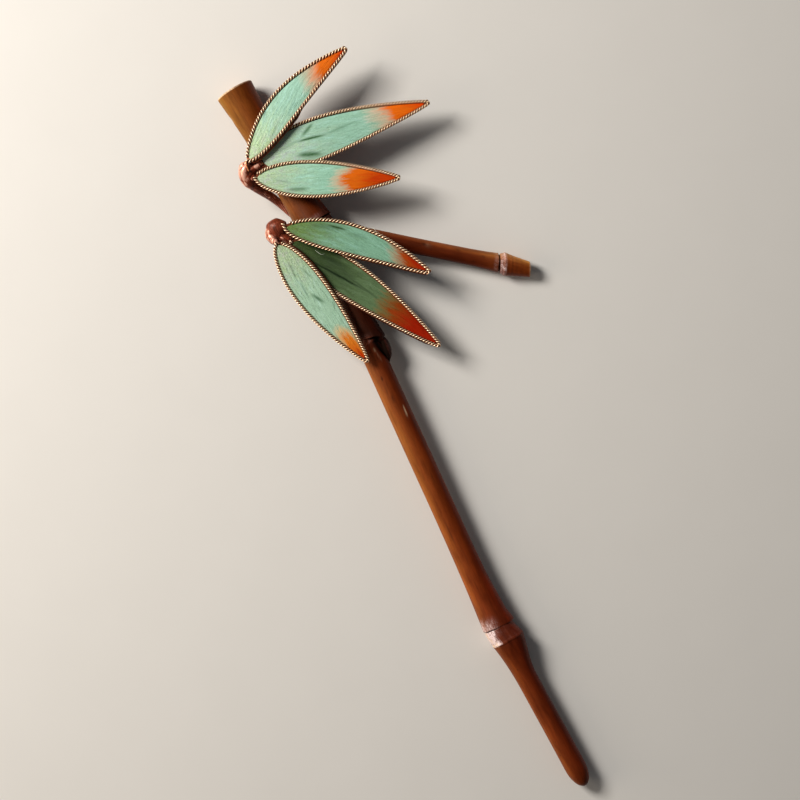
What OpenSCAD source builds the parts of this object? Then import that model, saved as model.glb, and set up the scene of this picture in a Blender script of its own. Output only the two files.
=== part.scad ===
// Bamboo hair stick with a side branch and two sprigs of feather-inlaid leaves, in millimetres.
// The stick lies along X, its cut head towards -X and its hair end towards +X.
// The side branch and the leaves reach towards +Y, the leaves face up, and the stick rests on z = 0.

/* [Stick] */
// Diameter of the cut head
head_d = 9.0; // [8.6:0.1:9.0]
// Diameter of the head internode between its two flares
waist_d = 7.6; // [7.2:0.1:7.8]
// Diameter over the first node, where the side branch grows
first_node_d = 8.9; // [8.4:0.1:9.2]
// Diameter over the second node, which carries the bud
second_node_d = 7.1; // [6.8:0.1:7.2]
// Diameter over the third node, on which the stick rests
third_node_d = 6.8; // [6.4:0.1:6.8]
// Diameter of the long internode past the bud
long_upper_d = 5.4; // [5.0:0.1:5.6]
// Diameter of the long internode before its flare to the third node
long_lower_d = 5.6; // [5.2:0.1:5.8]
// Diameter of the cylindrical hair end
hair_end_d = 4.9; // [4.5:0.1:5.2]
// Length of the rounded tip
tip_round = 5; // [4:0.5:6]
// Depth of the ring groove cut at each node
groove_depth = 0.15; // [0.1:0.05:0.2]

/* [Side branch] */
// Diameter of the side branch along its middle
branch_d = 3.8; // [3.4:0.1:4.0]
// Diameter over the node near the branch's end
branch_node_d = 5.2; // [4.8:0.1:5.2]
// Diameter of the branch's cut end
branch_end_d = 2.6; // [2.2:0.1:3.0]
// Radial clearance of the branch in its seat, and of each stem in its hole
seat_gap = 0.05; // [0.03:0.01:0.1]

/* [Leaves] */
// Diameter of the twisted wire that rims each leaf
rim_d = 0.9; // [0.8:0.05:1.0]
// Thickness of the backing plate
plate_t = 0.45; // [0.35:0.05:0.6]
// Thickness of the feather inlay at its edge
feather_t = 0.25; // [0.2:0.05:0.3]
// Extra thickness of the feather inlay along its middle
feather_crown = 0.15; // [0.1:0.05:0.25]
// Diameter of the wire stalk of each leaf
stalk_d = 0.8; // [0.7:0.05:0.8]
// Gap between a feather and its wire rim, and between a stalk and the thread around it
inlay_gap = 0.05; // [0.03:0.01:0.08]

/* [Thread bindings] */
// Diameter of the wound stem where it enters the stick
stem_d = 1.9; // [1.7:0.1:2.0]
// Diameter of the wound pedicel that holds each leaf stalk
pedicel_d = 1.3; // [1.2:0.1:1.5]

/* [Hidden] */

// Middle of the whole object's floor outline, measured from the middle of the cut head
mid_x = 89.25;
mid_y = 18.61;

// Internodes of the stick, head to tip, with these columns
START = 0;      // middle of the upper end
END = 1;        // middle of the lower end
RIDGE_R = 2;    // radius of the node ridge at the upper end
BAND = 3;       // length of the band between ring groove and ridge
BODY_R = 4;     // radius of the body behind the upper end, without flares
BODY_R2 = 5;    // radius of the body at the lower end, without flares
FLARE = 6;      // length of the upper flare
POWER = 7;      // how sharply the upper flare falls
LIP_R = 8;      // radius of the lip at the lower end, or 0 at the tip
LIP_FLARE = 9;  // length of the lower flare
HEAD = [[0, 0, 4.5], [35.3, 4.0, 4.8], head_d / 2, 0, waist_d / 2, waist_d / 2, 11, 1.2,
    first_node_d / 2, 8];
SECOND = [[35.3, 4.0, 4.8], [65.5, 4.5, 4.6], first_node_d / 2 - 0.05, 2.0, 3.35, 3.1, 9, 3,
    second_node_d / 2, 7];
LONG = [[65.5, 3.9, 4.6], [137.2, 3.85, 3.445], second_node_d / 2 - 0.5, 1.2, long_upper_d / 2,
    long_lower_d / 2, 6, 3, third_node_d / 2, 24];
HAIR_END = [[137.2, 4.2, 3.445], [179, 7.2, 3.0], third_node_d / 2, 3.9, hair_end_d / 2,
    hair_end_d / 2, 12, 2.2, 0, tip_round];
INTERNODES = [HEAD, SECOND, LONG, HAIR_END];
flare_steps = 7;
groove_w = 0.3;
plug = 0.8;     // how far an internode reaches back inside the one above it

// Side branch, from its seat on the stick's axis to its cut end
BRANCH_ROOT = [36.7, 5.0, 4.75];
BRANCH_END = [65.3, 44.6, 2.305];
branch_groove_at = 41.5;
branch_ridge_at = 42.9;
branch_neck_at = 44.4;

// Bud scale, pressed to the stick below the second node: position along it and radius
BUD_ROOT = [65.6, 6.9, 5.1];
BUD_TIP = [71.6, 6.5, 4.9];
BUD_PROFILE = [[0, 0.75], [0.15, 1.0], [0.4, 1.22], [0.6, 1.2], [0.8, 0.8], [0.93, 0.35]];

// Leaves, with these columns
BASE = 0;       // where the blade begins, at the middle of the rim wire's height
LEN = 1;        // length of the blade
DIR = 2;        // direction in plan, in degrees from X
PITCH = 3;      // rise towards the tip, in degrees
ROLL = 4;       // turn about its own length, in degrees, left edge up
HALF_W = 5;     // half width between the rim wires' middles at the widest place
WIDEST = 6;     // share of the length at which that is
CAMBER = 7;     // sideways bow of the blade's middle line, to the left
DROOP = 8;      // how far the blade's tip droops below its straight line
STALK = 9;      // length of the wire stalk behind the blade
LEAF_A1 = [[16.9, -3.7, 11.1], 34.4, 114.8, 0, -12, 3.5, 0.41, 2.2, 0.6, 2.2];
LEAF_A2 = [[18.0, -1.0, 9.7], 41.0, 85.1, -1, 0, 4.7, 0.29, 0.65, 1.0, 3.6];
LEAF_A3 = [[21.2, -3.8, 11.5], 33.0, 66.0, -1, -3, 4.0, 0.38, -0.25, 0.6, 2.2];
LEAF_B1 = [[34.0, -2.4, 11.0], 35.0, 48.3, 0, -5, 3.45, 0.39, 1.85, 0.6, 1.9];
LEAF_B2 = [[37.6, -2.4, 9.75], 41.8, 30.6, -2, -3, 4.05, 0.34, 0.6, 0.8, 3.6];
LEAF_B3 = [[36.8, -5.6, 11.45], 34.1, 13.2, -2.5, 3, 3.8, 0.37, -0.5, 0.4, 2.6];
fullness = 0.8;         // how full the sides swell towards both ends of a blade
blade_steps = 22;
rim_points = 7;
rim_from = -40;         // the rim wire shows from this angle, outside and low,
rim_to = 220;           // to this one, inside and low
end_share = 0.985;      // share of the length at which the closed tip is capped
base_steps = 2;         // the feather leaves this many steps of the blade free at the base
tip_steps = 1;          // and this many at the tip
steepest = 3;           // the rim is widened by no more than this where it turns across

// Wound stems: each row is a point on its middle line and a radius, from the hole to the leaves
STEM_A = [
    [[33.6, 1.5, 2.7], stem_d / 2], [[28.2, -1.1, 2.5], stem_d / 2], [[26.0, -2.3, 3.6], 1.0],
    [[24.0, -3.5, 5.0], 1.0], [[22.3, -4.6, 6.5], 1.05], [[20.6, -5.4, 8.1], 1.25],
    [[19.3, -5.5, 9.4], 1.45], [[18.3, -5.0, 10.2], 1.3]
];
STEM_B = [
    [[41.2, 3.0, 4.3], stem_d / 2], [[38.4, -0.85, 4.5], stem_d / 2], [[36.8, -3.0, 5.7], 1.0],
    [[35.3, -4.6, 7.2], 1.1], [[34.2, -5.5, 8.6], 1.35], [[33.2, -5.2, 9.6], 1.45],
    [[32.6, -4.2, 10.1], 1.15]
];
hole_reach = 3;         // how far a stem hole's drill runs back out of the stick
$fn = 64;

function lerp(a, b, t) = a + (b - a) * t;
function direction(p, q) = (q - p) / norm(q - p);

// Radius of an internode at a distance s from its upper end, past the ridge
function body_r(row, s, len) =
    let (line = lerp(row[BODY_R], row[BODY_R2], s / len),
         ridge_step = row[RIDGE_R] - lerp(row[BODY_R], row[BODY_R2], row[BAND] / len),
         lip_step = max(0, row[LIP_R] - row[BODY_R2]),
         upper = max(0, 1 - (s - row[BAND]) / row[FLARE]),
         lower = max(0, 1 - (len - s) / row[LIP_FLARE]))
    line + ridge_step * pow(upper, row[POWER]) + lip_step * pow(lower, 2);

// Outline of an internode as [radius, distance] points
function internode_profile(row) =
    let (len = norm(row[END] - row[START]),
         ridge = row[RIDGE_R],
         band = row[BAND],
         upper = [for (i = [0:flare_steps]) band + row[FLARE] * pow(i / flare_steps, 1.3)],
         lower = [for (i = [flare_steps:-1:1]) len - row[LIP_FLARE] * i / flare_steps],
         start = band == 0
             ? [[0, 0], [ridge - 0.15, 0], [ridge, 0.15]]
             : [[0, -plug], [ridge - groove_depth - 0.2, -plug], [ridge - groove_depth - 0.2, groove_w / 2],
                [ridge - groove_depth, groove_w], [ridge - groove_depth, lerp(groove_w, band, 0.6)]],
         finish = row[LIP_R] == 0
             ? [for (i = [0:6]) [row[BODY_R2] * cos(15 * i), len - row[LIP_FLARE] * (1 - sin(15 * i))]]
             : concat([for (s = lower) [body_r(row, s, len), s]],
                      [[row[LIP_R], len - 0.1], [row[LIP_R] - 0.1, len], [0, len]]))
    concat(start, [for (s = upper) if (s > 0.15) [body_r(row, s, len), s]], finish);

// Turns what is drawn up along Z to run from p towards q
module along(p, q) {
    d = direction(p, q);
    translate(p) rotate([0, acos(d.z), atan2(d.y, d.x)]) children();
}

module placed() {
    translate([-mid_x, -mid_y, 0]) children();
}

module bud() {
    len = norm(BUD_TIP - BUD_ROOT);
    outline = [for (p = BUD_PROFILE) [p[1], p[0] * len]];
    along(BUD_ROOT, BUD_TIP) rotate_extrude() polygon(concat([[0, 0]], outline, [[0, len]]));
}

// Hole for a wound stem, drilled along its last stretch
module stem_hole(stem) {
    deep = stem[0][0] + direction(stem[1][0], stem[0][0]) * (stem_d / 2 + seat_gap);
    out = stem[1][0] - direction(stem[1][0], stem[0][0]) * hole_reach;
    along(deep, out) cylinder(r = stem_d / 2 + seat_gap, h = norm(out - deep));
}

// The bamboo stick: four internodes, three nodes and a bud, with a seat for the branch
module culm() {
    color("saddlebrown") placed() difference() {
        union() {
            for (row = INTERNODES)
                along(row[START], row[END]) rotate_extrude() polygon(internode_profile(row));
            bud();
        }
        along(BRANCH_ROOT, BRANCH_END) cylinder(r = branch_d / 2 + seat_gap, h = 3 * waist_d / 2);
        stem_hole(STEM_A);
        stem_hole(STEM_B);
    }
}

// The side branch: a slightly tapered shoot with one node and a cut end stub
module side_branch() {
    len = norm(BRANCH_END - BRANCH_ROOT);
    r = branch_d / 2;
    swell = branch_node_d / 2 - 0.4;
    color("sienna") placed() along(BRANCH_ROOT, BRANCH_END) rotate_extrude() polygon([
        [0, seat_gap], [r, seat_gap], [r, 12], [r - 0.05, 24], [r, 34], [lerp(r, swell, 0.6), 38.5],
        [swell, branch_groove_at], [swell - groove_depth, branch_groove_at + 0.1],
        [swell - groove_depth, branch_groove_at + 0.4], [branch_node_d / 2 - 0.05, branch_ridge_at - 0.3],
        [branch_node_d / 2, branch_ridge_at], [branch_node_d / 2 - 0.1, branch_ridge_at + 0.4],
        [swell, branch_neck_at], [lerp(swell, branch_end_d / 2, 0.5), lerp(branch_neck_at, len, 0.6)],
        [branch_end_d / 2, len - 0.2], [branch_end_d / 2 - 0.2, len], [0, len]
    ]);
}

// Half width of a blade at the share t of its length
function half_width(leaf, t) =
    let (p = ln(0.5) / ln(leaf[WIDEST]))
    leaf[HALF_W] * pow(max(0, sin(180 * pow(t, p))), fullness);

// Share of the length at the blade's step i, closer together at the base
function step_share(i) = 0.004 + end_share * pow(i / blade_steps, 1.25);

function bow(leaf, t) = leaf[CAMBER] * sin(180 * t);
function droop(leaf, t) = -leaf[DROOP] * t * t;

// Widening of the rim wire's section where the outline runs across the blade
function rim_stretch(leaf, t) =
    let (a = max(0.001, t - 0.01),
         b = min(0.999, t + 0.01),
         slope = (half_width(leaf, b) - half_width(leaf, a)) / ((b - a) * leaf[LEN]))
    min(steepest, sqrt(1 + slope * slope));

// Section of a leaf frame: plate below, rim wires left and right, recess between them
function frame_section(leaf, t) =
    let (r = rim_d / 2,
         k = rim_stretch(leaf, t),
         h = max(half_width(leaf, t), 0.2),
         reach = min(1, (h - 0.02) / (r * k)),
         last = reach < 1 ? 180 - acos(reach) : rim_to,
         rim = [for (i = [0:rim_points - 1]) let (a = lerp(rim_from, last, i / (rim_points - 1)))
             [h + r * k * cos(a), r * sin(a)]],
         foot = [h + 0.3 * k, r * sin(rim_from) - plate_t])
    concat([[-foot[0], foot[1]], foot], rim,
           [for (i = [rim_points - 1:-1:0]) [-rim[i][0], rim[i][1]]]);

// Section of a stalk, with its points in the same order as a frame section's
function stalk_section(r) =
    let (sweep = [for (i = [0:rim_points - 1]) lerp(-45, 84, i / (rim_points - 1))])
    concat([[r * cos(-112), r * sin(-112)], [r * cos(-68), r * sin(-68)]],
           [for (a = sweep) [r * cos(a), r * sin(a)]],
           [for (i = [rim_points - 1:-1:0]) [-r * cos(sweep[i]), r * sin(sweep[i])]]);

stalk_drop = -0.3;  // height of the stalk's middle below that of the rim wires

function at_section(section, x, side, up) = [for (p = section) [x, side + p[0], up + p[1]]];

// Solid through a list of sections that all have the same number of points
module loft(sections) {
    m = len(sections[0]);
    n = len(sections);
    points = [for (s = sections) each s];
    sides = [for (j = [0:n - 2], i = [0:m - 1])
        [j * m + i, (j + 1) * m + i, (j + 1) * m + (i + 1) % m, j * m + (i + 1) % m]];
    ends = [[for (i = [0:m - 1]) i], [for (i = [m - 1:-1:0]) (n - 1) * m + i]];
    polyhedron(points = points, faces = concat(
        [for (q = sides) each [[q[0], q[1], q[2]], [q[0], q[2], q[3]]]],
        [for (e = ends, i = [1:m - 2]) [e[0], e[i], e[i + 1]]]));
}

// Puts a leaf, drawn along X from its base, in its place
module leaf_place(leaf) {
    translate(leaf[BASE]) rotate([0, 0, leaf[DIR]]) rotate([0, -leaf[PITCH], 0])
        rotate([leaf[ROLL], 0, 0]) children();
}

// Backing plate, wire rim and stalk of one leaf, soldered together
module leaf_frame(leaf) {
    r = stalk_d / 2;
    stalk = [for (x = [-leaf[STALK], -0.35]) at_section(stalk_section(r), x, 0, stalk_drop)];
    blade = [for (i = [0:blade_steps]) let (t = step_share(i))
        at_section(frame_section(leaf, t), t * leaf[LEN], bow(leaf, t), droop(leaf, t))];
    color("peru") placed() leaf_place(leaf) loft(concat(stalk, blade));
}

// Feather laid on the plate of one leaf, slightly crowned
module leaf_feather(leaf, tint) {
    floor_z = rim_d / 2 * sin(rim_to) + inlay_gap;
    blade = [for (i = [base_steps:blade_steps - tip_steps]) let (
        t = step_share(i),
        h = max(0.15, half_width(leaf, t) - (rim_d / 2 + inlay_gap) * rim_stretch(leaf, t)),
        crown = feather_crown * min(1, h / leaf[HALF_W] * 2),
        over = [for (c = [1:-0.5:-1]) [h * c, floor_z + feather_t + crown * (1 - c * c)]])
        at_section(concat([[-h, floor_z], [h, floor_z]], over), t * leaf[LEN], bow(leaf, t),
            droop(leaf, t))];
    color(tint) placed() leaf_place(leaf) loft(blade);
}

// Wound thread between the balls at the points of a stem
module wound(stem) {
    for (i = [0:len(stem) - 2])
        hull() {
            translate(stem[i][0]) sphere(r = stem[i][1], $fn = 12);
            translate(stem[i + 1][0]) sphere(r = stem[i + 1][1], $fn = 12);
        }
}

// Pedicel wound round a leaf's stalk, from a point of the stem to the blade
module pedicel(leaf, knot) {
    hull() {
        leaf_place(leaf) translate([-0.75, 0, stalk_drop]) rotate([0, -90, 0])
            cylinder(d = pedicel_d, h = 0.5, $fn = 12);
        leaf_place(leaf) translate([-leaf[STALK], 0, stalk_drop]) sphere(d = pedicel_d + 0.2, $fn = 12);
    }
    hull() {
        leaf_place(leaf) translate([-leaf[STALK], 0, stalk_drop]) sphere(d = pedicel_d + 0.2, $fn = 12);
        translate(knot[0]) sphere(r = knot[1] * 0.9, $fn = 12);
    }
}

module stalk_hole(leaf) {
    leaf_place(leaf) translate([0.5, 0, stalk_drop]) rotate([0, -90, 0])
        cylinder(d = stalk_d + 2 * inlay_gap, h = leaf[STALK] + 0.5 + inlay_gap, $fn = 16);
}

// Thread-wound stem that gathers the stalks of one sprig and enters the stick
module binding(stem, leaves) {
    knots = [len(stem) - 1, len(stem) - 1, len(stem) - 2];
    color("brown") placed() difference() {
        union() {
            wound(stem);
            for (i = [0:len(leaves) - 1]) pedicel(leaves[i], stem[knots[i]]);
        }
        for (leaf = leaves) stalk_hole(leaf);
    }
}

culm();
side_branch();
binding(STEM_A, [LEAF_A1, LEAF_A2, LEAF_A3]);  // binding_a
binding(STEM_B, [LEAF_B1, LEAF_B2, LEAF_B3]);  // binding_b
leaf_frame(LEAF_A1);  // leaf_a1_frame
leaf_frame(LEAF_A2);  // leaf_a2_frame
leaf_frame(LEAF_A3);  // leaf_a3_frame
leaf_frame(LEAF_B1);  // leaf_b1_frame
leaf_frame(LEAF_B2);  // leaf_b2_frame
leaf_frame(LEAF_B3);  // leaf_b3_frame
leaf_feather(LEAF_A1, "mediumaquamarine");  // leaf_a1_feather
leaf_feather(LEAF_A2, "mediumaquamarine");  // leaf_a2_feather
leaf_feather(LEAF_A3, "mediumaquamarine");  // leaf_a3_feather
leaf_feather(LEAF_B1, "seagreen");  // leaf_b1_feather
leaf_feather(LEAF_B2, "seagreen");  // leaf_b2_feather
leaf_feather(LEAF_B3, "mediumaquamarine");  // leaf_b3_feather
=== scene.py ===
"""Bamboo hair stick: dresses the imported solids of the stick, its side branch and its six inlaid leaves.

Every mesh is made in design millimetres, measured from the middle of the cut head, and is moved into the
shared frame, in metres, when its piece is finished.
"""

from __future__ import annotations

import sys
import bisect
import logging
import math
import random
from dataclasses import dataclass, field
from enum import Enum, IntEnum
from typing import Callable, Sequence

import bmesh
import bpy
from mathutils import Matrix, Vector, noise


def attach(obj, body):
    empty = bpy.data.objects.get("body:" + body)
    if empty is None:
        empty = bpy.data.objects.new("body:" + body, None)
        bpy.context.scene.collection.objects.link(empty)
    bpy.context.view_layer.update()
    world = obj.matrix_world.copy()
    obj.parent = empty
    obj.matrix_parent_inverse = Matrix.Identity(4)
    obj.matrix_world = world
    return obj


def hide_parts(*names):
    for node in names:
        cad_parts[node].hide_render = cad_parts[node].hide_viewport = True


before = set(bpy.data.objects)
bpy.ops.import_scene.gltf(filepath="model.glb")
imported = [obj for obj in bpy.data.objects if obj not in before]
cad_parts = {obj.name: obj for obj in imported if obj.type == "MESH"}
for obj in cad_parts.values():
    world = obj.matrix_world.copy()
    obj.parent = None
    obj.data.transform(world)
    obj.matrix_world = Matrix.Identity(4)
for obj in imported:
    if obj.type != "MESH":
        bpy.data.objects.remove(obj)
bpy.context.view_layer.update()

LOG = logging.getLogger("hair_stick")
MM = 0.001
ORIGIN = Vector((89.25, 18.61, 0.0))
TO_FRAME = Matrix.Scale(MM, 4) @ Matrix.Translation(-ORIGIN)
TURN = 2 * math.pi
UP = Vector((0.0, 0.0, 1.0))
BODY = "root"
FAR = 99.0
SKIN = 0.02
BAMBOO_MARKS = ("wear", "bloom", "soot", "cut")
# Way from a rim wire's middle towards its side away from the key light; the wire is painted darker there
# (painted shade).
SHADED_SIDE = Vector((0.937, 0.350, 0.0))

Marks = dict[str, float | Vector]
Place = Callable[[float, float], tuple[Vector, Marks]]
Colour = tuple[float, float, float, float]
Stops = tuple[tuple[float, Colour], ...]
Point = tuple[float, float, float]
Bead = tuple[Point, float]


class Node(IntEnum):
    """The stick's nodes, from the head down."""

    FIRST = 0
    BUD = 1
    LAST = 2


class Slot(Enum):
    """The material slots that the pieces' finishes belong to."""

    BAMBOO = "bamboo"
    GILT_WIRE = "gilt_wire"
    PALE_FEATHER = "pale_feather"
    DARK_FEATHER = "dark_feather"
    THREAD = "thread"


# ---- numbers


def tint(red: float, green: float, blue: float) -> Colour:
    """Turns a screen colour, 0 to 255, into the linear colour that a shader reads.

    Args:
        red: Red as a screen shows it.
        green: Green as a screen shows it.
        blue: Blue as a screen shows it.

    Returns:
        The linear colour with an alpha of 1.
    """
    shares = [max(0.0, c) / 255 for c in (red, green, blue)]
    linear = [c / 12.92 if c <= 0.04045 else ((c + 0.055) / 1.055) ** 2.4 for c in shares]
    return (linear[0], linear[1], linear[2], 1.0)


def clamp(value: float, low: float = 0.0, high: float = 1.0) -> float:
    """Returns the value kept between low and high."""
    return max(low, min(high, value))


def blend(a: float, b: float, share: float) -> float:
    """Returns the number at a share of the way from a to b."""
    return a + (b - a) * share


def ease(share: float) -> float:
    """Returns a share of 0 to 1 with a soft start and a soft end."""
    share = clamp(share)
    return share * share * (3 - 2 * share)


def window(value: float, low: float, high: float, soft: float) -> float:
    """Returns 1 between low and high, and falls to 0 over soft on either side."""
    return ease((value - low) / soft + 1) * ease((high - value) / soft + 1)


def speck(x: float, y: float = 0.0, z: float = 0.0) -> float:
    """Returns smooth noise of about -1 to 1 at a point."""
    return noise.noise(Vector((x, y, z)))


def speck_round(run: float, angle: float, close: float, seed: float = 0.0) -> float:
    """Returns smooth noise at a distance along a stick and an angle round it."""
    return speck(run, math.cos(angle) * close, math.sin(angle) * close + seed)


def rounding(share: float) -> float:
    """Returns how far a round corner has fallen away, 0 to 1, at a share of the way into it."""
    return 1 - math.sqrt(max(0.0, 1 - share * share))


def end_cap(run: float, length: float, reach: float, least: float = 0.05) -> float:
    """Returns the share of its thickness that a wire has near its rounded ends."""
    return math.sqrt(max(least, 1 - max(0.0, 1 - min(run, length - run) / reach) ** 2))


def spoke(high: Vector, left: Vector, angle: float) -> Vector:
    """Returns the way out from a line, at an angle from its top side towards its left side."""
    return high * math.cos(angle) + left * math.sin(angle)


def row_at(rows: Sequence[tuple[float, float]], run: float) -> tuple[float, float, float]:
    """Finds the two rows that a place lies between.

    Args:
        rows: Places in rising order, each with a value.
        run: The place.

    Returns:
        The two rows' values, and how far the place is from the first to the second.
    """
    index = max(0, min(bisect.bisect_right(rows, (run, FAR)) - 1, len(rows) - 2))
    (a, low), (b, high) = rows[index], rows[index + 1]
    return low, high, clamp((run - a) / max(1e-6, b - a))


def linked(name: str, data: bpy.types.ID) -> bpy.types.Object:
    """Makes an object of some data and links it to the scene.

    Args:
        name: The object's name.
        data: Its mesh, lamp or lens.

    Returns:
        The object.
    """
    made = bpy.data.objects.new(name, data)
    bpy.context.scene.collection.objects.link(made)
    return made


# ---- lines


class Track:
    """A smooth line through control points, with a steady frame, read by its share of the length."""

    def __init__(self, knots: Sequence[Vector], radii: Sequence[float] | None = None, detail: int = 14,
                 up: Vector | None = None) -> None:
        """Draws the line.

        Args:
            knots: Control points, which the line passes through.
            radii: A radius at each control point.
            detail: Steps between two control points, or 1 to leave the line as it is.
            up: The side that stays on top. Without it the frame turns as little as it can.
        """
        rows = [(*k, r) for k, r in zip(knots, radii or [0.0] * len(knots))]
        path = self._smooth(rows, detail) if detail > 1 else rows
        self.points = [Vector(row[:3]) for row in path]
        self.radii = [row[3] for row in path]
        self.reach = [0.0]
        for a, b in zip(self.points, self.points[1:]):
            self.reach.append(self.reach[-1] + (b - a).length)
        self.length = self.reach[-1]
        self.ups = self._frames(up)

    @classmethod
    def strung(cls, beads: Sequence[Bead], up: Vector | None = None) -> Track:
        """Draws a line through beads, each a point and a radius."""
        return cls([Vector(point) for point, _ in beads], [radius for _, radius in beads], up=up)

    @staticmethod
    def _smooth(rows: list[tuple[float, ...]], detail: int) -> list[tuple[float, ...]]:
        """Runs a Catmull-Rom curve through rows of numbers.

        Args:
            rows: A row of numbers for each control point.
            detail: Steps between two of them.

        Returns:
            The rows of the curve.
        """
        made = []
        ends = [rows[0], *rows, rows[-1]]
        for a, b, c, d in zip(ends, ends[1:], ends[2:], ends[3:]):
            for step in range(detail):
                t = step / detail
                made.append(tuple(
                    0.5 * (2 * q + (r - p) * t + (2 * p - 5 * q + 4 * r - s) * t * t
                           + (3 * q - p - 3 * r + s) * t ** 3)
                    for p, q, r, s in zip(a, b, c, d)))
        made.append(rows[-1])
        return made

    def _tangent(self, index: int) -> Vector:
        """Returns the direction of the line at one of its points."""
        last = len(self.points) - 1
        return (self.points[min(last, index + 1)] - self.points[max(0, index - 1)]).normalized()

    def _frames(self, up: Vector | None) -> list[Vector]:
        """Works out the top side at each point, square to the line.

        Args:
            up: The side that stays on top, if one does.

        Returns:
            The top sides.
        """
        side = up or self._tangent(0).orthogonal().normalized()
        sides = []
        for index in range(len(self.points)):
            way = self._tangent(index)
            start = up or side
            side = (start - way * start.dot(way)).normalized()
            sides.append(side)
        return sides

    def at(self, share: float) -> tuple[Vector, Vector, Vector, Vector, float]:
        """Reads the line.

        Args:
            share: Share of the length, 0 to 1.

        Returns:
            The point, the direction, the top side, the left side and the radius there.
        """
        run = clamp(share) * self.length
        index = min(max(bisect.bisect_right(self.reach, run) - 1, 0), len(self.points) - 2)
        step = (run - self.reach[index]) / max(1e-9, self.reach[index + 1] - self.reach[index])
        point = self.points[index].lerp(self.points[index + 1], step)
        way = self._tangent(index).lerp(self._tangent(index + 1), step).normalized()
        top = self.ups[index].lerp(self.ups[index + 1], step)
        top = (top - way * top.dot(way)).normalized()
        return point, way, top, top.cross(way), blend(self.radii[index], self.radii[index + 1], step)


# ---- pieces


class Workpiece:
    """One piece of the object while its mesh is being made, in design millimetres."""

    def __init__(self, name: str, vectors: Sequence[str] = (), numbers: Sequence[str] = ()) -> None:
        """Starts an empty piece.

        Args:
            name: The piece's name.
            vectors: Names of the attributes that hold a vector.
            numbers: Names of the attributes that hold a number.
        """
        self.name = name
        self.bm = bmesh.new()
        self.layers = {n: self.bm.verts.layers.float_vector.new(n) for n in vectors}
        self.layers.update({n: self.bm.verts.layers.float.new(n) for n in numbers})

    def put(self, vert: bmesh.types.BMVert, placed: tuple[Vector, Marks]) -> None:
        """Moves a vertex to its place and writes its attributes.

        Args:
            vert: The vertex.
            placed: The place and the attributes.
        """
        vert.co, marks = placed
        for name, value in marks.items():
            vert[self.layers[name]] = value

    def sleeve(self, sides: int, rings: int, place: Place) -> None:
        """Adds a closed sleeve: a cylinder cut into rings, with every vertex laid where place says.

        Args:
            sides: Faces round the sleeve.
            rings: Faces along the sleeve.
            place: Gives the place for a share round, 0 to 1, and a share along, 0 to 1.
        """
        before = len(self.bm.verts)
        made = bmesh.ops.create_cone(self.bm, cap_ends=True, cap_tris=False, segments=sides,
                                     radius1=1.0, radius2=1.0, depth=1.0)
        rails = {e: None for v in made["verts"] for e in v.link_edges
                 if abs(e.verts[0].co.z - e.verts[1].co.z) > 0.5}
        bmesh.ops.subdivide_edges(self.bm, edges=list(rails), cuts=rings - 1)
        for vert in list(self.bm.verts)[before:]:
            around = round(math.atan2(vert.co.y, vert.co.x) / TURN * sides) % sides / sides
            self.put(vert, place(around, clamp(vert.co.z + 0.5)))

    def finish(self, material: bpy.types.Material, slot: Slot, stands_for: Sequence[str] = (),
               crease: float = 60.0) -> bpy.types.Object:
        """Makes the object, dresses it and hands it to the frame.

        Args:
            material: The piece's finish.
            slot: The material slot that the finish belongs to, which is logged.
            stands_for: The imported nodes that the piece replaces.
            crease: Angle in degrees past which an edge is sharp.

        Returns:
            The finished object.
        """
        bmesh.ops.recalc_face_normals(self.bm, faces=list(self.bm.faces))
        bmesh.ops.transform(self.bm, matrix=TO_FRAME, verts=list(self.bm.verts))
        mesh = bpy.data.meshes.new(self.name)
        self.bm.to_mesh(mesh)
        self.bm.free()
        mesh.shade_smooth()
        mesh.set_sharp_from_angle(angle=math.radians(crease))
        mesh.materials.append(material)
        piece = linked(self.name, mesh)
        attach(piece, BODY)
        if stands_for:
            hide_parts(*stands_for)
        faces = sum(len(p.vertices) - 2 for p in mesh.polygons)
        LOG.info("%s: %d triangles, slot %s", self.name, faces, slot.value)
        return piece


# ---- shading


class Wire:
    """A socket in a node tree, with arithmetic that adds Math nodes."""

    def __init__(self, board: Board, socket: bpy.types.NodeSocket) -> None:
        """Keeps the socket and the board that it is on."""
        self.board = board
        self.socket = socket

    def _math(self, operation: str, *values: Wire | float) -> Wire:
        """Adds one Math node with these values."""
        return self.board.node("ShaderNodeMath", {"operation": operation}, dict(enumerate(values)))

    def __add__(self, other: Wire | float) -> Wire:
        """Adds."""
        return self._math("ADD", self, other)

    def __radd__(self, other: float) -> Wire:
        """Adds to a plain number."""
        return self._math("ADD", other, self)

    def __sub__(self, other: Wire | float) -> Wire:
        """Subtracts."""
        return self._math("SUBTRACT", self, other)

    def __rsub__(self, other: float) -> Wire:
        """Subtracts from a plain number."""
        return self._math("SUBTRACT", other, self)

    def __mul__(self, other: Wire | float) -> Wire:
        """Multiplies."""
        return self._math("MULTIPLY", self, other)

    def __rmul__(self, other: float) -> Wire:
        """Multiplies a plain number."""
        return self._math("MULTIPLY", other, self)

    def __truediv__(self, other: Wire | float) -> Wire:
        """Divides."""
        return self._math("DIVIDE", self, other)

    def __pow__(self, other: float) -> Wire:
        """Raises to a power."""
        return self._math("POWER", self, other)

    def held(self) -> Wire:
        """Keeps the value between 0 and 1."""
        return self.board.node("ShaderNodeClamp", {}, {"Value": self})

    def soft(self, low: float, high: float) -> Wire:
        """Rises smoothly from 0 at low to 1 at high."""
        return self.board.node("ShaderNodeMapRange", {"interpolation_type": "SMOOTHSTEP"},
                               {"Value": self, "From Min": low, "From Max": high})


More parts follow.
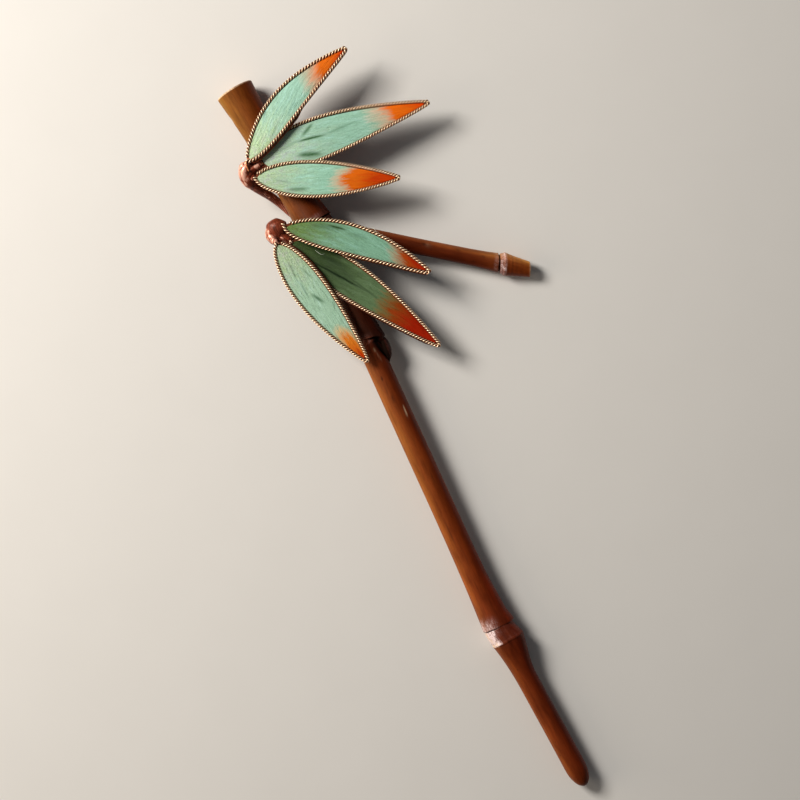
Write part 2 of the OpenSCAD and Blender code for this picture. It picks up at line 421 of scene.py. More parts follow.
class Board:
    """The node tree of a material or of the world, with one method that makes any node."""

    def __init__(self, tree: bpy.types.NodeTree) -> None:
        """Empties the tree and keeps it."""
        tree.nodes.clear()
        self.tree = tree

    @classmethod
    def material(cls, name: str) -> tuple[bpy.types.Material, Board]:
        """Makes a material and its board.

        Args:
            name: The material's name.

        Returns:
            The material and the board.
        """
        made = bpy.data.materials.new(name)
        made.use_nodes = True
        return made, cls(made.node_tree)

    def node(self, kind: str, settings: dict[str, object], inputs: dict[int | str, object],
             out: int | str = 0) -> Wire:
        """Makes a node.

        Args:
            kind: The node's type.
            settings: What is set on the node itself, with a ramp's stops under "stops".
            inputs: Values or wires for its sockets.
            out: Which of its outputs is wanted.

        Returns:
            That output.
        """
        made = self.tree.nodes.new(kind)
        for name, value in settings.items():
            if name == "stops":
                self._set_stops(made.color_ramp, value)
            else:
                setattr(made, name, value)
        for name, value in inputs.items():
            if isinstance(value, Wire):
                self.tree.links.new(value.socket, made.inputs[name])
            else:
                made.inputs[name].default_value = value
        return Wire(self, made.outputs[out])

    @staticmethod
    def _set_stops(ramp: bpy.types.ColorRamp, stops: Stops) -> None:
        """Gives a colour ramp its stops.

        Args:
            ramp: The ramp.
            stops: Places, 0 to 1, each with a colour.
        """
        while len(ramp.elements) < len(stops):
            ramp.elements.new(0.5)
        for element, (place, colour) in zip(ramp.elements, stops):
            element.position = place
            element.color = colour

    def attribute(self, name: str, out: str = "Vector") -> Wire:
        """Reads an attribute of the mesh."""
        return self.node("ShaderNodeAttribute", {"attribute_name": name}, {}, out)

    def number(self, name: str) -> Wire:
        """Reads an attribute that holds a number."""
        return self.attribute(name, "Fac")

    def part(self, vector: Wire, axis: str) -> Wire:
        """Reads one part of a vector."""
        return self.node("ShaderNodeSeparateXYZ", {}, {"Vector": vector}, axis)

    def joined(self, x: Wire | float, y: Wire | float, z: Wire | float) -> Wire:
        """Makes a vector of three numbers."""
        return self.node("ShaderNodeCombineXYZ", {}, {"X": x, "Y": y, "Z": z})

    def stretched(self, vector: Wire, by: tuple[float, float, float]) -> Wire:
        """Multiplies a vector by another, part by part."""
        return self.node("ShaderNodeVectorMath", {"operation": "MULTIPLY"}, {0: vector, 1: by})

    def grit(self, vector: Wire, scale: float, detail: float = 3.0, rough: float = 0.55) -> Wire:
        """Makes noise of 0 to 1."""
        return self.node("ShaderNodeTexNoise", {},
                         {"Vector": vector, "Scale": scale, "Detail": detail, "Roughness": rough})

    def cells(self, vector: Wire, scale: float) -> Wire:
        """Makes the distance to scattered points."""
        return self.node("ShaderNodeTexVoronoi", {}, {"Vector": vector, "Scale": scale})

    def ramp(self, value: Wire, stops: Stops) -> Wire:
        """Turns a value into a colour."""
        return self.node("ShaderNodeValToRGB", {"stops": stops}, {0: value})

    def mixed(self, share: Wire | float, a: Wire | Colour, b: Wire | Colour, way: str = "MIX") -> Wire:
        """Mixes two colours."""
        return self.node("ShaderNodeMix", {"data_type": "RGBA", "blend_type": way},
                         {0: share, 6: a, 7: b}, 2)

    def shaded(self, height: Wire, strength: float, distance: float) -> Wire:
        """Turns a height into a bumped normal."""
        return self.node("ShaderNodeBump", {},
                         {"Strength": strength, "Distance": distance, "Height": height})

    def surface(self, inputs: dict[int | str, object]) -> None:
        """Ends the tree in a Principled shader with these inputs."""
        shader = self.node("ShaderNodeBsdfPrincipled", {}, inputs)
        self.node_out("ShaderNodeOutputMaterial", shader)

    def node_out(self, kind: str, shader: Wire) -> None:
        """Ends the tree in an output node."""
        made = self.tree.nodes.new(kind)
        self.tree.links.new(shader.socket, made.inputs["Surface"])


# ---- finishes


@dataclass(frozen=True)
class BambooFinish:
    """Stained and polished bamboo: fibres along the stick, stain that changes from node to node and holds a
    painted shadow on one internode, and painted light and shade round the stick.
    """

    name: str
    length: float
    zones: Stops
    pale: Colour = tint(232, 200, 160)
    bloom: Colour = tint(250, 224, 220)
    soot: Colour = tint(22, 9, 5)
    wood: Colour = tint(92, 48, 24)
    pith: Colour = tint(176, 126, 82)
    coat: float = 0.04
    polish: float = 0.11
    # Painted light and shade round the stick: lighter on the side towards the key light, darker on the far
    # side, with a painted warm reflection at the far edge.
    sides: Stops = (
        (0.02, (1.75, 2.7, 2.6, 1.0)), (0.28, (1.10, 1.24, 1.25, 1.0)), (0.52, (0.92, 0.87, 0.82, 1.0)),
        (0.80, (0.74, 0.50, 0.37, 1.0)), (1.00, (1.15, 0.64, 0.38, 1.0)))

    def make(self) -> bpy.types.Material:
        """Builds the material. The pieces carry grain, wear with a painted highlight, bloom with painted
        glints, soot with painted shade, and cut as attributes.

        Returns:
            The material.
        """
        material, board = Board.material(self.name)
        grain = board.attribute("grain")
        along = board.part(grain, "X")
        base = board.ramp(along * (1 / self.length), self.zones)
        across = board.part(grain, "Y")
        height = board.part(grain, "Z")
        girth = (across * across + height * height + 0.01) ** 0.5
        # The stain is multiplied by painted light and shade, set by where a point lies round the stick.
        cloudy = board.grit(board.stretched(grain, (0.06, 0.5, 0.5)), 1.0, 2.0)
        shading_across = across / girth * 0.5 + 0.5 + (cloudy - 0.5) * 0.35
        stain = board.ramp(shading_across.held(), self.sides)
        base = board.mixed(1.0, base, stain, "MULTIPLY")
        fibre = board.grit(board.stretched(grain, (0.035, 1.0, 1.0)), 2.4, 5.0, 0.6)
        thread = board.grit(board.stretched(grain, (0.09, 1.0, 1.0)), 7.5, 3.0, 0.6)
        cloud = board.grit(board.stretched(grain, (0.22, 1.0, 1.0)), 0.55, 4.0, 0.6)
        light = board.ramp(fibre, ((0.30, (0.82, 0.77, 0.72, 1)), (0.47, (0.98, 0.97, 0.96, 1)),
                                   (0.56, (1.02, 1.02, 1.02, 1)), (0.74, (1.14, 1.15, 1.13, 1))))
        base = board.mixed(1.0, base, light, "MULTIPLY")
        lines = board.ramp(thread, ((0.33, (0.80, 0.76, 0.72, 1)), (0.5, (1.0, 1.0, 1.0, 1)),
                                    (0.7, (1.16, 1.16, 1.14, 1))))
        base = board.mixed(0.55, base, lines, "MULTIPLY")
        patches = board.ramp(cloud, ((0.32, (0.62, 0.52, 0.45, 1)), (0.5, (1.0, 1.0, 1.0, 1)),
                                     (0.68, (1.35, 1.3, 1.2, 1))))
        base = board.mixed(0.75, base, patches, "MULTIPLY")
        freckle = 1 - board.cells(board.stretched(grain, (0.45, 1.0, 1.0)), 0.9).soft(0.05, 0.13)
        freckle = freckle * board.grit(grain, 0.35, 1.0).soft(0.5, 0.62)
        base = board.mixed(freckle * 0.6, base, self.soot)
        streaks = fibre.soft(0.38, 0.62)
        powder = board.grit(board.stretched(grain, (0.6, 1.0, 1.0)), 5.0, 2.0, 0.7).soft(0.40, 0.60)
        bloom = (board.number("bloom") * (0.30 + 0.4 * streaks) * (0.35 + 1.2 * powder)).held()
        base = board.mixed(bloom, base, self.bloom)
        wear = (board.number("wear") * (0.6 + 0.5 * streaks)).held()
        base = board.mixed(wear, base, self.pale)
        cut = board.number("cut")
        bundles = board.cells(board.stretched(grain, (0.0, 1.0, 1.0)), 2.6).soft(0.12, 0.3)
        face = board.mixed(bundles, self.wood, self.pith)
        base = board.mixed(cut, base, face)
        soot = board.number("soot")
        base = board.mixed(soot, base, self.soot)
        relief = fibre * 0.7 + thread * 0.5 - soot * 0.5 - freckle * 0.4
        rough = (0.40 + 0.16 * cloud + 0.2 * wear + 0.06 * bloom + 0.4 * soot + 0.3 * cut).held()
        board.surface({
            "Base Color": base,
            "Roughness": rough,
            "Normal": board.shaded(relief, 0.3, 0.00008),
            "Coat Weight": (self.coat - self.coat * soot - 0.4 * cut).held(),
            "Coat Roughness": 0.22,
            "Specular IOR Level": self.polish,
            "Specular Tint": (1.0, 0.82, 0.66, 1.0),
        })
        return material


@dataclass(frozen=True)
class GiltFinish:
    """Gilt twisted wire, with a painted highlight along the crowns of its strands and painted shade where
    they meet.
    """

    name: str = "gilt_wire"
    painted_highlight: Colour = tint(255, 226, 186)
    middle: Colour = tint(226, 138, 82)
    dark: Colour = tint(84, 34, 14)

    def make(self) -> bpy.types.Material:
        """Builds the material. The pieces carry crown, from 0 inside to 1 outside, as an attribute.

        Returns:
            The material.
        """
        material, board = Board.material(self.name)
        crown = board.number("crown")
        place = board.node("ShaderNodeTexCoord", {}, {}, "Object")
        worn_and_lit = board.grit(place, 900.0, 3.0)
        # The crown ramp paints a cream highlight on each strand's crown, and shade down its sides and on
        # the core.
        base = board.ramp((crown + (worn_and_lit - 0.5) * 0.25).held(),
                          ((0.48, self.dark), (0.66, self.middle), (0.86, self.painted_highlight)))
        board.surface({
            "Base Color": base,
            "Metallic": crown.soft(0.1, 0.5) * 0.5,
            "Roughness": (0.42 - 0.12 * crown + (worn_and_lit - 0.5) * 0.2).held(),
            "Coat Weight": crown.soft(0.45, 0.75) * 0.5,
            "Coat Roughness": 0.2,
            "Coat IOR": 1.7,
            "Normal": board.shaded(worn_and_lit, 0.2, 0.00003),
        })
        return material


@dataclass(frozen=True)
class PlateFinish:
    """Backing plate: brushed red-brown copper with a darker tarnish."""

    name: str = "leaf_backing"
    metal: Colour = tint(150, 78, 44)
    tarnish: Colour = tint(62, 24, 12)

    def make(self) -> bpy.types.Material:
        """Builds the material. The pieces carry blade, their place on the leaf, as an attribute.

        Returns:
            The material.
        """
        material, board = Board.material(self.name)
        blade = board.attribute("blade")
        brushed = board.grit(board.stretched(blade, (0.25, 3.5, 1.0)), 3.0, 4.0, 0.65)
        cloud = board.grit(blade, 0.7, 4.0, 0.6)
        tarnish_and_shade = (cloud * 0.7 + brushed * 0.5).soft(0.38, 0.78)
        board.surface({
            "Base Color": board.mixed(tarnish_and_shade, self.metal, self.tarnish),
            "Metallic": 0.85 - 0.45 * tarnish_and_shade,
            "Roughness": 0.38 + 0.25 * tarnish_and_shade,
            "Normal": board.shaded(brushed, 0.3, 0.00004),
        })
        return material


@dataclass(frozen=True)
class ThreadFinish:
    """Red-brown silk thread, wound tight and waxed; its crowns carry a painted pink highlight and its
    valleys painted shade.
    """

    name: str = "silk_thread"
    crown: Colour = tint(255, 196, 170)
    middle: Colour = tint(138, 60, 35)
    valley_shade: Colour = tint(44, 12, 6)

    def make(self) -> bpy.types.Material:
        """Builds the material. The pieces carry wind, their place on the winding, and crown.

        Returns:
            The material.
        """
        material, board = Board.material(self.name)
        wind = board.attribute("wind")
        crown = board.number("crown")
        strand = board.grit(board.stretched(wind, (0.5, 2.2, 2.2)), 1.6, 3.0, 0.6)
        cloud = board.grit(wind, 0.6, 3.0, 0.6)
        # light follows the crown mark: painted highlight on the crowns and at the painted sheen spots,
        # painted shade in the valleys.
        light = (crown * 0.92 + (strand - 0.5) * 0.9 + (cloud - 0.5) * 0.6).held()
        board.surface({
            "Base Color": board.ramp(light, ((0.1, self.valley_shade), (0.5, self.middle), (0.95, self.crown))),
            "Metallic": light * 0.35,
            "Roughness": (0.42 - 0.12 * light + (strand - 0.5) * 0.2).held(),
            "Normal": board.shaded(strand + cloud * 0.8, 0.45, 0.00010),
            "Specular IOR Level": 0.4,
            "Specular Tint": (1.0, 0.72, 0.62, 1.0),
            "Coat Weight": 0.06,
            "Coat Roughness": 0.34,
            "Sheen Weight": 0.08,
            "Sheen Roughness": 0.35,
            "Sheen Tint": (1.0, 0.65, 0.55, 1.0),
        })
        return material


@dataclass(frozen=True)
class FeatherFinish:
    """Dyed feather: green barbs that turn orange in streaky fingers towards the leaf's tip."""

    border: tuple[float, float, float]
    barb_angle: float
    root: Colour
    middle: Colour
    pale: Colour
    first: Colour
    deep: Colour
    dark: Colour = tint(60, 100, 62)
    fibre: Colour = tint(206, 212, 194)
    edge: float = 0.70
    band: float = 0.06
    turn: float = 0.12
    fingers: float = 0.10
    root_reach: float = 0.5
    weave: float = 0.55

    def make(self, code: str, length: float) -> bpy.types.Material:
        """Builds the material. The pieces carry blade, tone, stain and wisp as attributes.

        Args:
            code: The leaf's code.
            length: The leaf's length.

        Returns:
            The material.
        """
        material, board = Board.material(f"feather_{code}")
        blade = board.attribute("blade")
        x = board.part(blade, "X")
        y = board.part(blade, "Y")
        across = board.part(blade, "Z")
        slant = math.radians(self.barb_angle)
        run = x * math.cos(slant) + y * math.sin(slant)
        side = y * math.cos(slant) - x * math.sin(slant)
        bend = (board.grit(blade, 0.22, 2.0) - 0.5) * 1.6 + (board.grit(blade, 1.1, 1.0) - 0.5) * 0.5
        lie = board.joined(run, side + bend, 0.0)
        barbs = board.grit(board.stretched(lie, (0.30, 2.9, 1.0)), 1.5, 3.0, 0.6)
        locks = board.grit(board.stretched(lie, (0.14, 1.1, 1.0)), 1.0, 3.0, 0.6)
        short = board.grit(board.stretched(lie, (2.1, 3.8, 1.0)), 1.25, 3.0, 0.6)
        share = x * (1 / length)
        ahead = self._ahead(board, share, across, locks, barbs, short)
        stops = (
            (0.0, self.middle),
            (self.edge - self.band, self.middle),
            (self.edge, self.pale),
            (self.edge + 0.06, self.first),
            (self.edge + self.turn, self.first),
            (self.edge + self.turn + 0.12, self.deep),
        )
        base = board.ramp(ahead.held(), stops)
        near_root = 1 - (share + (locks - 0.5) * 0.5).soft(0.0, self.root_reach)
        green = (0.72 - ahead).soft(0.0, 0.06)
        base = board.mixed(near_root * green, base, self.root)
        base = self._cast(board, blade, base, near_root * green, green, barbs * 0.5 + locks * 0.5)
        streak = board.ramp(barbs * 0.6 + locks * 0.4,
                            ((0.30, (0.72, 0.74, 0.72, 1)), (0.46, (0.95, 0.96, 0.95, 1)),
                             (0.54, (1.03, 1.03, 1.03, 1)), (0.70, (1.22, 1.20, 1.20, 1))))
        base = board.mixed(0.35 + 0.3 * green, base, streak, "MULTIPLY")
        woven = board.ramp(short, ((0.30, (0.50, 0.52, 0.50, 1)), (0.47, (0.95, 0.96, 0.95, 1)),
                                   (0.55, (1.05, 1.05, 1.05, 1)), (0.72, (1.50, 1.46, 1.46, 1))))
        base = board.mixed(((0.3 + 0.7 * near_root) * green * self.weave + 0.12).held(), base,
                           board.mixed(1.0, base, woven, "MULTIPLY"))
        # Lighter where the tone is high: random tone, and painted highlight on the raised parts.
        lit = board.mixed(1.0, base, (1.35, 1.32, 1.34, 1.0), "MULTIPLY")
        base = board.mixed(board.number("tone") * 0.40, base, lit)
        mark = board.number("stain") * (0.5 + 1.0 * short) + (1 - short).soft(0.60, 0.74) * 0.2 * green
        base = board.mixed(mark.held(), base, self.dark)
        base = board.mixed(board.number("wisp"), base, self.fibre)
        height = barbs * 0.5 + short * 0.9 + locks * 0.4
        board.surface({
            "Base Color": base,
            "Roughness": (0.64 - 0.1 * short).held(),
            "Normal": board.shaded(height, 0.45, 0.00008),
            "Specular IOR Level": 0.08,
        })
        return material

    def _ahead(self, board: Board, share: Wire, across: Wire, *streaks: Wire) -> Wire:
        """Measures how far a place is past the uneven border between green and orange, which is at edge.

        Args:
            board: The material's board; not used.
            share: Share of the leaf's length.
            across: Share of its half width, from -1 on the right to 1 on the left.
            *streaks: Noises that break up the border, the strongest first.

        Returns:
            The distance past the border, plus edge, in shares of the length.
        """
        right, centre, left = self.border
        line = centre + across * ((left - right) / 2) + across * across * ((left + right) / 2 - centre)
        ahead = share - line + self.edge
        for streak, reach in zip(streaks, (1.5, 0.8, 0.5)):
            ahead = ahead + (streak - 0.5) * (reach * self.fingers)
        return ahead

    def _cast(self, board: Board, blade: Wire, base: Wire, rooted: Wire, green: Wire,
              streaks: Wire) -> Wire:
        """Shifts the green in patches: grey lilac and yellow near the root, pale blue streaks beyond.

        Args:
            board: The material's board.
            blade: Place on the leaf.
            base: The colour so far.
            rooted: How green and near the root a place is.
            green: How green a place is.
            streaks: Noise along the barbs.

        Returns:
            The shifted colour.
        """
        patch = board.grit(blade, 0.55, 3.0, 0.6)
        grain = board.grit(blade, 2.2, 2.0, 0.7)
        lilac = (patch * 0.6 + grain * 0.4).soft(0.50, 0.62) * 0.7 * rooted
        base = board.mixed(lilac, base, board.mixed(1.0, base, (1.06, 0.86, 1.16, 1.0), "MULTIPLY"))
        yellow = (1 - (patch * 0.55 + grain * 0.45)).soft(0.50, 0.64) * 0.65 * rooted
        base = board.mixed(yellow, base, board.mixed(1.0, base, (1.02, 1.04, 0.79, 1.0), "MULTIPLY"))
        blue = streaks.soft(0.50, 0.66) * (green - rooted) * 0.8
        return board.mixed(blue, base, board.mixed(1.0, base, (1.16, 1.11, 1.28, 1.0), "MULTIPLY"))


@dataclass(frozen=True)
class FloorFinish:
    """Plain pale table top, matt and slightly mottled."""

    name: str = "pale_floor"
    light: Colour = (0.74, 0.71, 0.67, 1.0)
    shade: Colour = (0.71, 0.68, 0.64, 1.0)

    def make(self) -> bpy.types.Material:
        """Builds the material.

        Returns:
            The material.
        """
        material, board = Board.material(self.name)
        place = board.node("ShaderNodeTexCoord", {}, {}, "Object")
        mottle = board.grit(place, 60.0, 5.0)
        board.surface({
            "Base Color": board.mixed(mottle, self.shade, self.light),
            "Roughness": 0.8 + 0.1 * mottle,
            "Specular IOR Level": 0.2,
        })
        return material


# ---- bamboo


@dataclass(frozen=True)
class Blemish:
    """A dent, knob, scratch or worn place on a stick."""

    at: float
    angle: float
    length: float
    width: float
    depth: float = 0.0
    wear: float = 0.0
    soot: float = 0.0
    lean: float = 0.0

    def weight(self, run: float, angle: float, radius: float) -> float:
        """Tells how strong the blemish is at a place.

        Args:
            run: Distance along the stick.
            angle: Angle round the stick, in radians.
            radius: The stick's radius there.

        Returns:
            1 in its middle, falling to 0.
        """
        away = (run - self.at) / (self.length / 2)
        if abs(away) > 2:
            return 0.0
        turn = (angle - math.radians(self.angle) + math.pi) % TURN - math.pi
        aside = (turn * radius - self.lean * (run - self.at)) / (self.width / 2)
        return math.exp(-(away ** 4) - aside * aside)


class Axis:
    """The middle line of a stick: straight spans that meet in soft bends."""

    def __init__(self, spans: Sequence[tuple[Vector, Vector]], bend: float = 3.0,
                 jogs: Sequence[tuple[float, float]] = ()) -> None:
        """Measures the spans.

        Args:
            spans: The two ends of each span.
            bend: Length over which the direction turns at a node.
            jogs: Where one span starts and ends giving way to the next, from each node.
        """
        self.spans = spans
        self.bend = bend
        self.jogs = jogs
        self.stops = [0.0]
        for start, end in spans:
            self.stops.append(self.stops[-1] + (end - start).length)
        self.length = self.stops[-1]

    def at(self, run: float) -> tuple[Vector, Vector]:
        """Finds a place on the line.

        Args:
            run: Distance along the line.

        Returns:
            The point and the direction there.
        """
        point = way = Vector()
        for index, (start, end) in enumerate(self.spans):
            straight = (end - start).normalized()
            here = start + straight * (run - self.stops[index])
            if index == 0:
                point, way = here, straight
                continue
            past = run - self.stops[index]
            first, last = self.jogs[index - 1]
            point = point.lerp(here, ease((past - first) / (last - first)))
            way = way.lerp(straight, ease(past / self.bend + 0.5))
        return point, way.normalized()

    def spot(self, run: float, angle: float, radius: float) -> Vector:
        """Finds a point off the line.

        Args:
            run: Distance along the line.
            angle: Angle round it, in radians.
            radius: Distance from it.

        Returns:
            The point.
        """
        point, way = self.at(run)
        left = UP.cross(way).normalized()
        top = way.cross(left)
        return point + left * (radius * math.cos(angle)) + top * (radius * math.sin(angle))


@dataclass(kw_only=True)
class Cane:
    """A turned stick of bamboo: an outline spun round a straight line, then bent along its axis.

    The outline has many points near its stops, where they lie fine apart, and few between them.
    """

    blemishes: Sequence[Blemish]
    name: str = "cane"
    sides: int = 72
    fine: float = 0.06
    growth: float = 0.13
    coarse: float = 0.8
    axis: Axis = field(init=False)
    stops: Sequence[float] = field(init=False)

    def radius(self, run: float) -> float:
        """Returns the plain radius at a distance along the stick."""
        raise NotImplementedError

    def shape(self, run: float, angle: float, radius: float) -> tuple[float, float, Marks]:
        """Returns the distance, the radius and the marks that a point of the outline ends up with."""
        raise NotImplementedError

    def outline(self) -> list[tuple[float, float]]:
        """Lists the outline as distance and radius, closer together near the stops.

        Returns:
            The rows, from the start to the end of the stick.
        """
        rows = [(0.0, 0.0), (0.0, self.radius(0.0) * 0.35), (0.0, self.radius(0.0) * 0.7)]
        run = 0.0
        while run < self.axis.length:
            rows.append((run, self.radius(run)))
            near = min(abs(run - s) for s in self.stops)
            run += min(self.coarse, self.fine + self.growth * near)
        rows.append((self.axis.length, self.radius(self.axis.length)))
        if rows[-1][1] > 0.05:
            rows += [(self.axis.length, rows[-1][1] * 0.6), (self.axis.length, rows[-1][1] * 0.3)]
        rows.append((self.axis.length, 0.0))
        return rows

    def build(self, material: bpy.types.Material, stands_for: Sequence[str]) -> bpy.types.Object:
        """Spins, bends and dresses the stick.

        Args:
            material: The piece's finish.
            stands_for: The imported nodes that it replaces.

        Returns:
            The finished object.
        """
        piece = Workpiece(self.name, ("grain",), BAMBOO_MARKS)
        bm = piece.bm
        points = [bm.verts.new((run, radius, 0.0)) for run, radius in self.outline()]
        edges = [bm.edges.new(pair) for pair in zip(points, points[1:])]
        bmesh.ops.spin(bm, geom=points + edges, cent=(0, 0, 0), axis=(1, 0, 0), dvec=(0, 0, 0),
                       angle=TURN, steps=self.sides, use_merge=True, use_normal_flip=False,
                       use_duplicate=False)
        bmesh.ops.remove_doubles(bm, verts=list(bm.verts), dist=1e-5)
        for vert in bm.verts:
            run = vert.co.x
            angle = math.atan2(vert.co.z, vert.co.y)
            moved, radius, marks = self.shape(run, angle, math.hypot(vert.co.y, vert.co.z))
            marks["grain"] = Vector((run, radius * math.cos(angle), radius * math.sin(angle)))
            spot = self.axis.spot(moved, angle, radius)
            spot.z = max(spot.z, 0.0)
            piece.put(vert, (spot, marks))
        return piece.finish(material, Slot.BAMBOO, stands_for, crease=50.0)

    def relief(self, run: float, angle: float) -> float:
        """Measures the low waves and fibre ridges of the surface.

        Args:
            run: Distance along it.
            angle: Angle round it, in radians.

        Returns:
            The height that they add.
        """
        wave = speck_round(run * 0.07, angle, 1.1)
        ridge = speck_round(run * 0.03 + 9, angle, 5.5)
        return 0.05 * wave + 0.03 * ridge + 0.012 * speck_round(run * 0.08 + 31, angle, 15)

    def blemished(self, run: float, angle: float, radius: float) -> tuple[float, float, float]:
        """Adds up the blemishes: the height they take off, their wear and their soot.

        Args:
            run: Distance along it.
            angle: Angle round it, in radians.
            radius: The stick's radius there.

        Returns:
            The height, the wear and the soot.
        """
        depth = wear = soot = 0.0
        for mark in self.blemishes:
            weight = mark.weight(run, angle, max(radius, 0.5))
            depth += mark.depth * weight
            wear += mark.wear * weight
            soot += mark.soot * weight
        return depth, clamp(wear), clamp(soot)


@dataclass(frozen=True)
class Internode:
    """One length of the stick between two nodes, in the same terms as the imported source."""

    start: Vector
    end: Vector
    ridge_r: float
    band: float
    body_r: float
    body_r2: float
    flare: float
    power: float
    lip_r: float
    lip_flare: float

    @property
    def length(self) -> float:
        """The internode's length."""
        return (self.end - self.start).length

    def radius(self, run: float) -> float:
        """Works out the radius.

        Args:
            run: Distance from the upper end, past its ridge.

        Returns:
            The radius.
        """
        line = blend(self.body_r, self.body_r2, run / self.length)
        ridge = self.ridge_r - blend(self.body_r, self.body_r2, self.band / self.length)
        lip = max(0.0, self.lip_r - self.body_r2)
        upper = max(0.0, 1 - (run - self.band) / self.flare)
        lower = max(0.0, 1 - (self.length - run) / self.lip_flare)
        return line + ridge * min(1.0, upper) ** self.power + lip * lower ** 2


@dataclass(kw_only=True)
class Culm(Cane):
    """The main stick: four internodes, three nodes, a cut head and a rounded hair end."""

    internodes: Sequence[Internode]
    name: str = "culm_stick"
    groove: float = 0.3
    groove_depth: float = 0.34
    lip_round: float = 0.14
    rim_bevel: float = 0.28
    node_reach: float = 9.0
    jogs: tuple[tuple[float, float], ...] = ((-0.15, 0.15), (-0.15, 0.6), (0.2, 4.2))
    nodes: Sequence[float] = field(init=False)

    def __post_init__(self) -> None:
        """Strings the internodes together."""
        self.axis = Axis([(i.start, i.end) for i in self.internodes], jogs=self.jogs)
        self.nodes = self.axis.stops[1:-1]
        ridges = [n + i.band for n, i in zip(self.nodes, self.internodes[1:])]
        self.stops = [0.0, *self.nodes, *ridges, self.axis.length]

    def radius(self, run: float) -> float:
        """Works out the plain radius, with the lips, the ring grooves and the ridges.

        Args:
            run: Distance along it.

        Returns:
            The radius.
        """
        index = min(bisect.bisect_right(self.axis.stops, run) - 1, len(self.internodes) - 1)
        part = self.internodes[index]
        local = run - self.axis.stops[index]
        left = part.length - local
        if index == 0 and local < self.rim_bevel:
            return part.radius(local) - self.rim_bevel * 0.8 * rounding(1 - local / self.rim_bevel)
        if index > 0 and local < part.band:
            swell = 0.13 * (1 - ease((local - self.groove) / (part.band - self.groove)))
            return part.ridge_r - swell
        radius = part.radius(local)
        if part.lip_r and left < self.lip_round:
            radius -= self.lip_round * rounding(1 - left / self.lip_round)
        if not part.lip_r and left < part.lip_flare:
            radius *= 1 - rounding(1 - left / part.lip_flare)
        return radius

    def shape(self, run: float, angle: float, radius: float) -> tuple[float, float, Marks]:
        """Works a point of the outline: organic waves, wavy node rings, wear and a painted highlight, bloom
        and painted glints, soot and painted shade.

        Args:
            run: Distance along it.
            angle: Angle round it, in radians.
            radius: The outline's radius there.

        Returns:
            The new distance, the new radius and the marks.
        """
        full = self.radius(run)
        depth, wear, soot = self.blemished(run, angle, full)
        inside = radius < full - SKIN
        marks = {"cut": 1.0 if run < SKIN and inside else 0.0, "bloom": 0.0}
        # The cut head's rim is paler, most on the left: wear, and a painted highlight along its bevel on
        # the side towards the key light.
        left = ease(0.5 - 0.9 * math.cos(angle))
        rim = window(run, 0.0, 0.30, 0.10) * (0.25 + 0.75 * left)
        wear = max(wear, 1.3 * rim * (0.8 + 0.4 * speck_round(run * 3, angle, 6)))
        if inside:
            dish = 0.35 * (1 - radius / max(full, 0.1)) if run < SKIN else 0.0
            return run + dish, radius, {**marks, "wear": 0.0, "soot": 0.0}
        radius += self.relief(run, angle) * window(run, 1.0, self.axis.length - 4, 3.0)
        for node, stop in zip(Node, self.nodes):
            away = run - stop
            reach = self.internodes[node + 1].band
            radius += self.node_swell(node, away, angle, reach)
            if abs(away) < self.node_reach:
                sway = speck(math.cos(angle) * 1.6, math.sin(angle) * 1.6, 7.0 * node)
                run += 0.22 * sway * window(away, -0.8, reach + 0.6, 1.6)
                if node is Node.BUD:
                    run += self.node_slant(angle) * window(away, -1.0, 1.0, 7.5)
                wide = 0.06 if node is Node.LAST else 0.10
                ring = window(abs(away - self.groove * 0.3), -1.0, wide, 0.10)
                black = self.ring_soot(node, angle)
                soot = max(soot, 0.95 * ring * black)
                if away >= 0:
                    radius -= self.groove_depth * (0.04 + 0.96 * black) * (1 - ease(away / self.groove))
                elif away > -self.lip_round:
                    radius += (1 - black) * self.lip_round * rounding(1 + away / self.lip_round)
                chip = speck(math.cos(angle) * 5, math.sin(angle) * 5, 3 + node)
                radius -= 0.10 * max(0.0, chip) * window(away, -0.35, -0.02, 0.3)
                radius -= 0.12 * max(0.0, chip - 0.1) * window(away, reach - 0.25, reach + 0.25, 0.35)
                marks["bloom"] = max(marks["bloom"], self.node_bloom_and_glint(node, away, angle, reach))
        marks.update(wear=clamp(wear), soot=clamp(soot))
        return run, radius - depth, marks

    @staticmethod
    def ring_soot(node: Node, angle: float) -> float:
        """Tells how black a node's groove is at an angle: the second and third are dark on one side.

        Args:
            node: The node.
            angle: Angle round it, in radians.

        Returns:
            1 where it is black, 0 where it is clean.
        """
        side = math.cos(angle)
        if node is Node.BUD:
            return ease((side - 0.05) / 0.35)
        if node is Node.LAST:
            return ease((0.12 - side) / 0.4)
        return 1.0

    @staticmethod
    def node_slant(angle: float) -> float:
        """Returns how far the second node's lip lies ahead at an angle: it reaches down over the bud."""
        right = math.cos(angle)
        return 0.55 * right - 0.68 + 2.05 * max(0.0, right) ** 6

    @staticmethod
    def node_swell(node: Node, away: float, angle: float, reach: float) -> float:
        """Tells how far a node stands out on one side, over the bud and at the last ridge.

        Args:
            node: The node.
            away: Distance past the node.
            angle: Angle round it, in radians.
            reach: Length of the node's ridge.

        Returns:
            The height that it adds.
        """
        right = ease((math.cos(angle) - 0.1) / 0.9)
        left = ease((0.30 - math.cos(angle)) / 0.7)
        if node is Node.BUD and away >= SKIN:
            return -0.50 * left * (1 - ease(away / 3.5))
        if node is Node.BUD:
            return 0.50 * right * ease((away + 7.0) / 7.0) - 0.56 * left * ease((away + 3.0) / 3.0)
        if node is Node.LAST:
            if away < SKIN:
                lip = 0.5 * right ** 4 * ease((away + 3.5) / 3.5)
                return 0.45 * right * ease((away + 14.0) / 14.0) + lip
            upper = ease(0.6 + math.sin(angle))
            crest = 0.10 * upper * window(away, reach - 0.3, reach + 0.02, 0.3)
            return crest + right * (0.55 + 0.4 * ease(away / reach)) * (1 - ease((away - reach) / 9.0))
        return 0.0

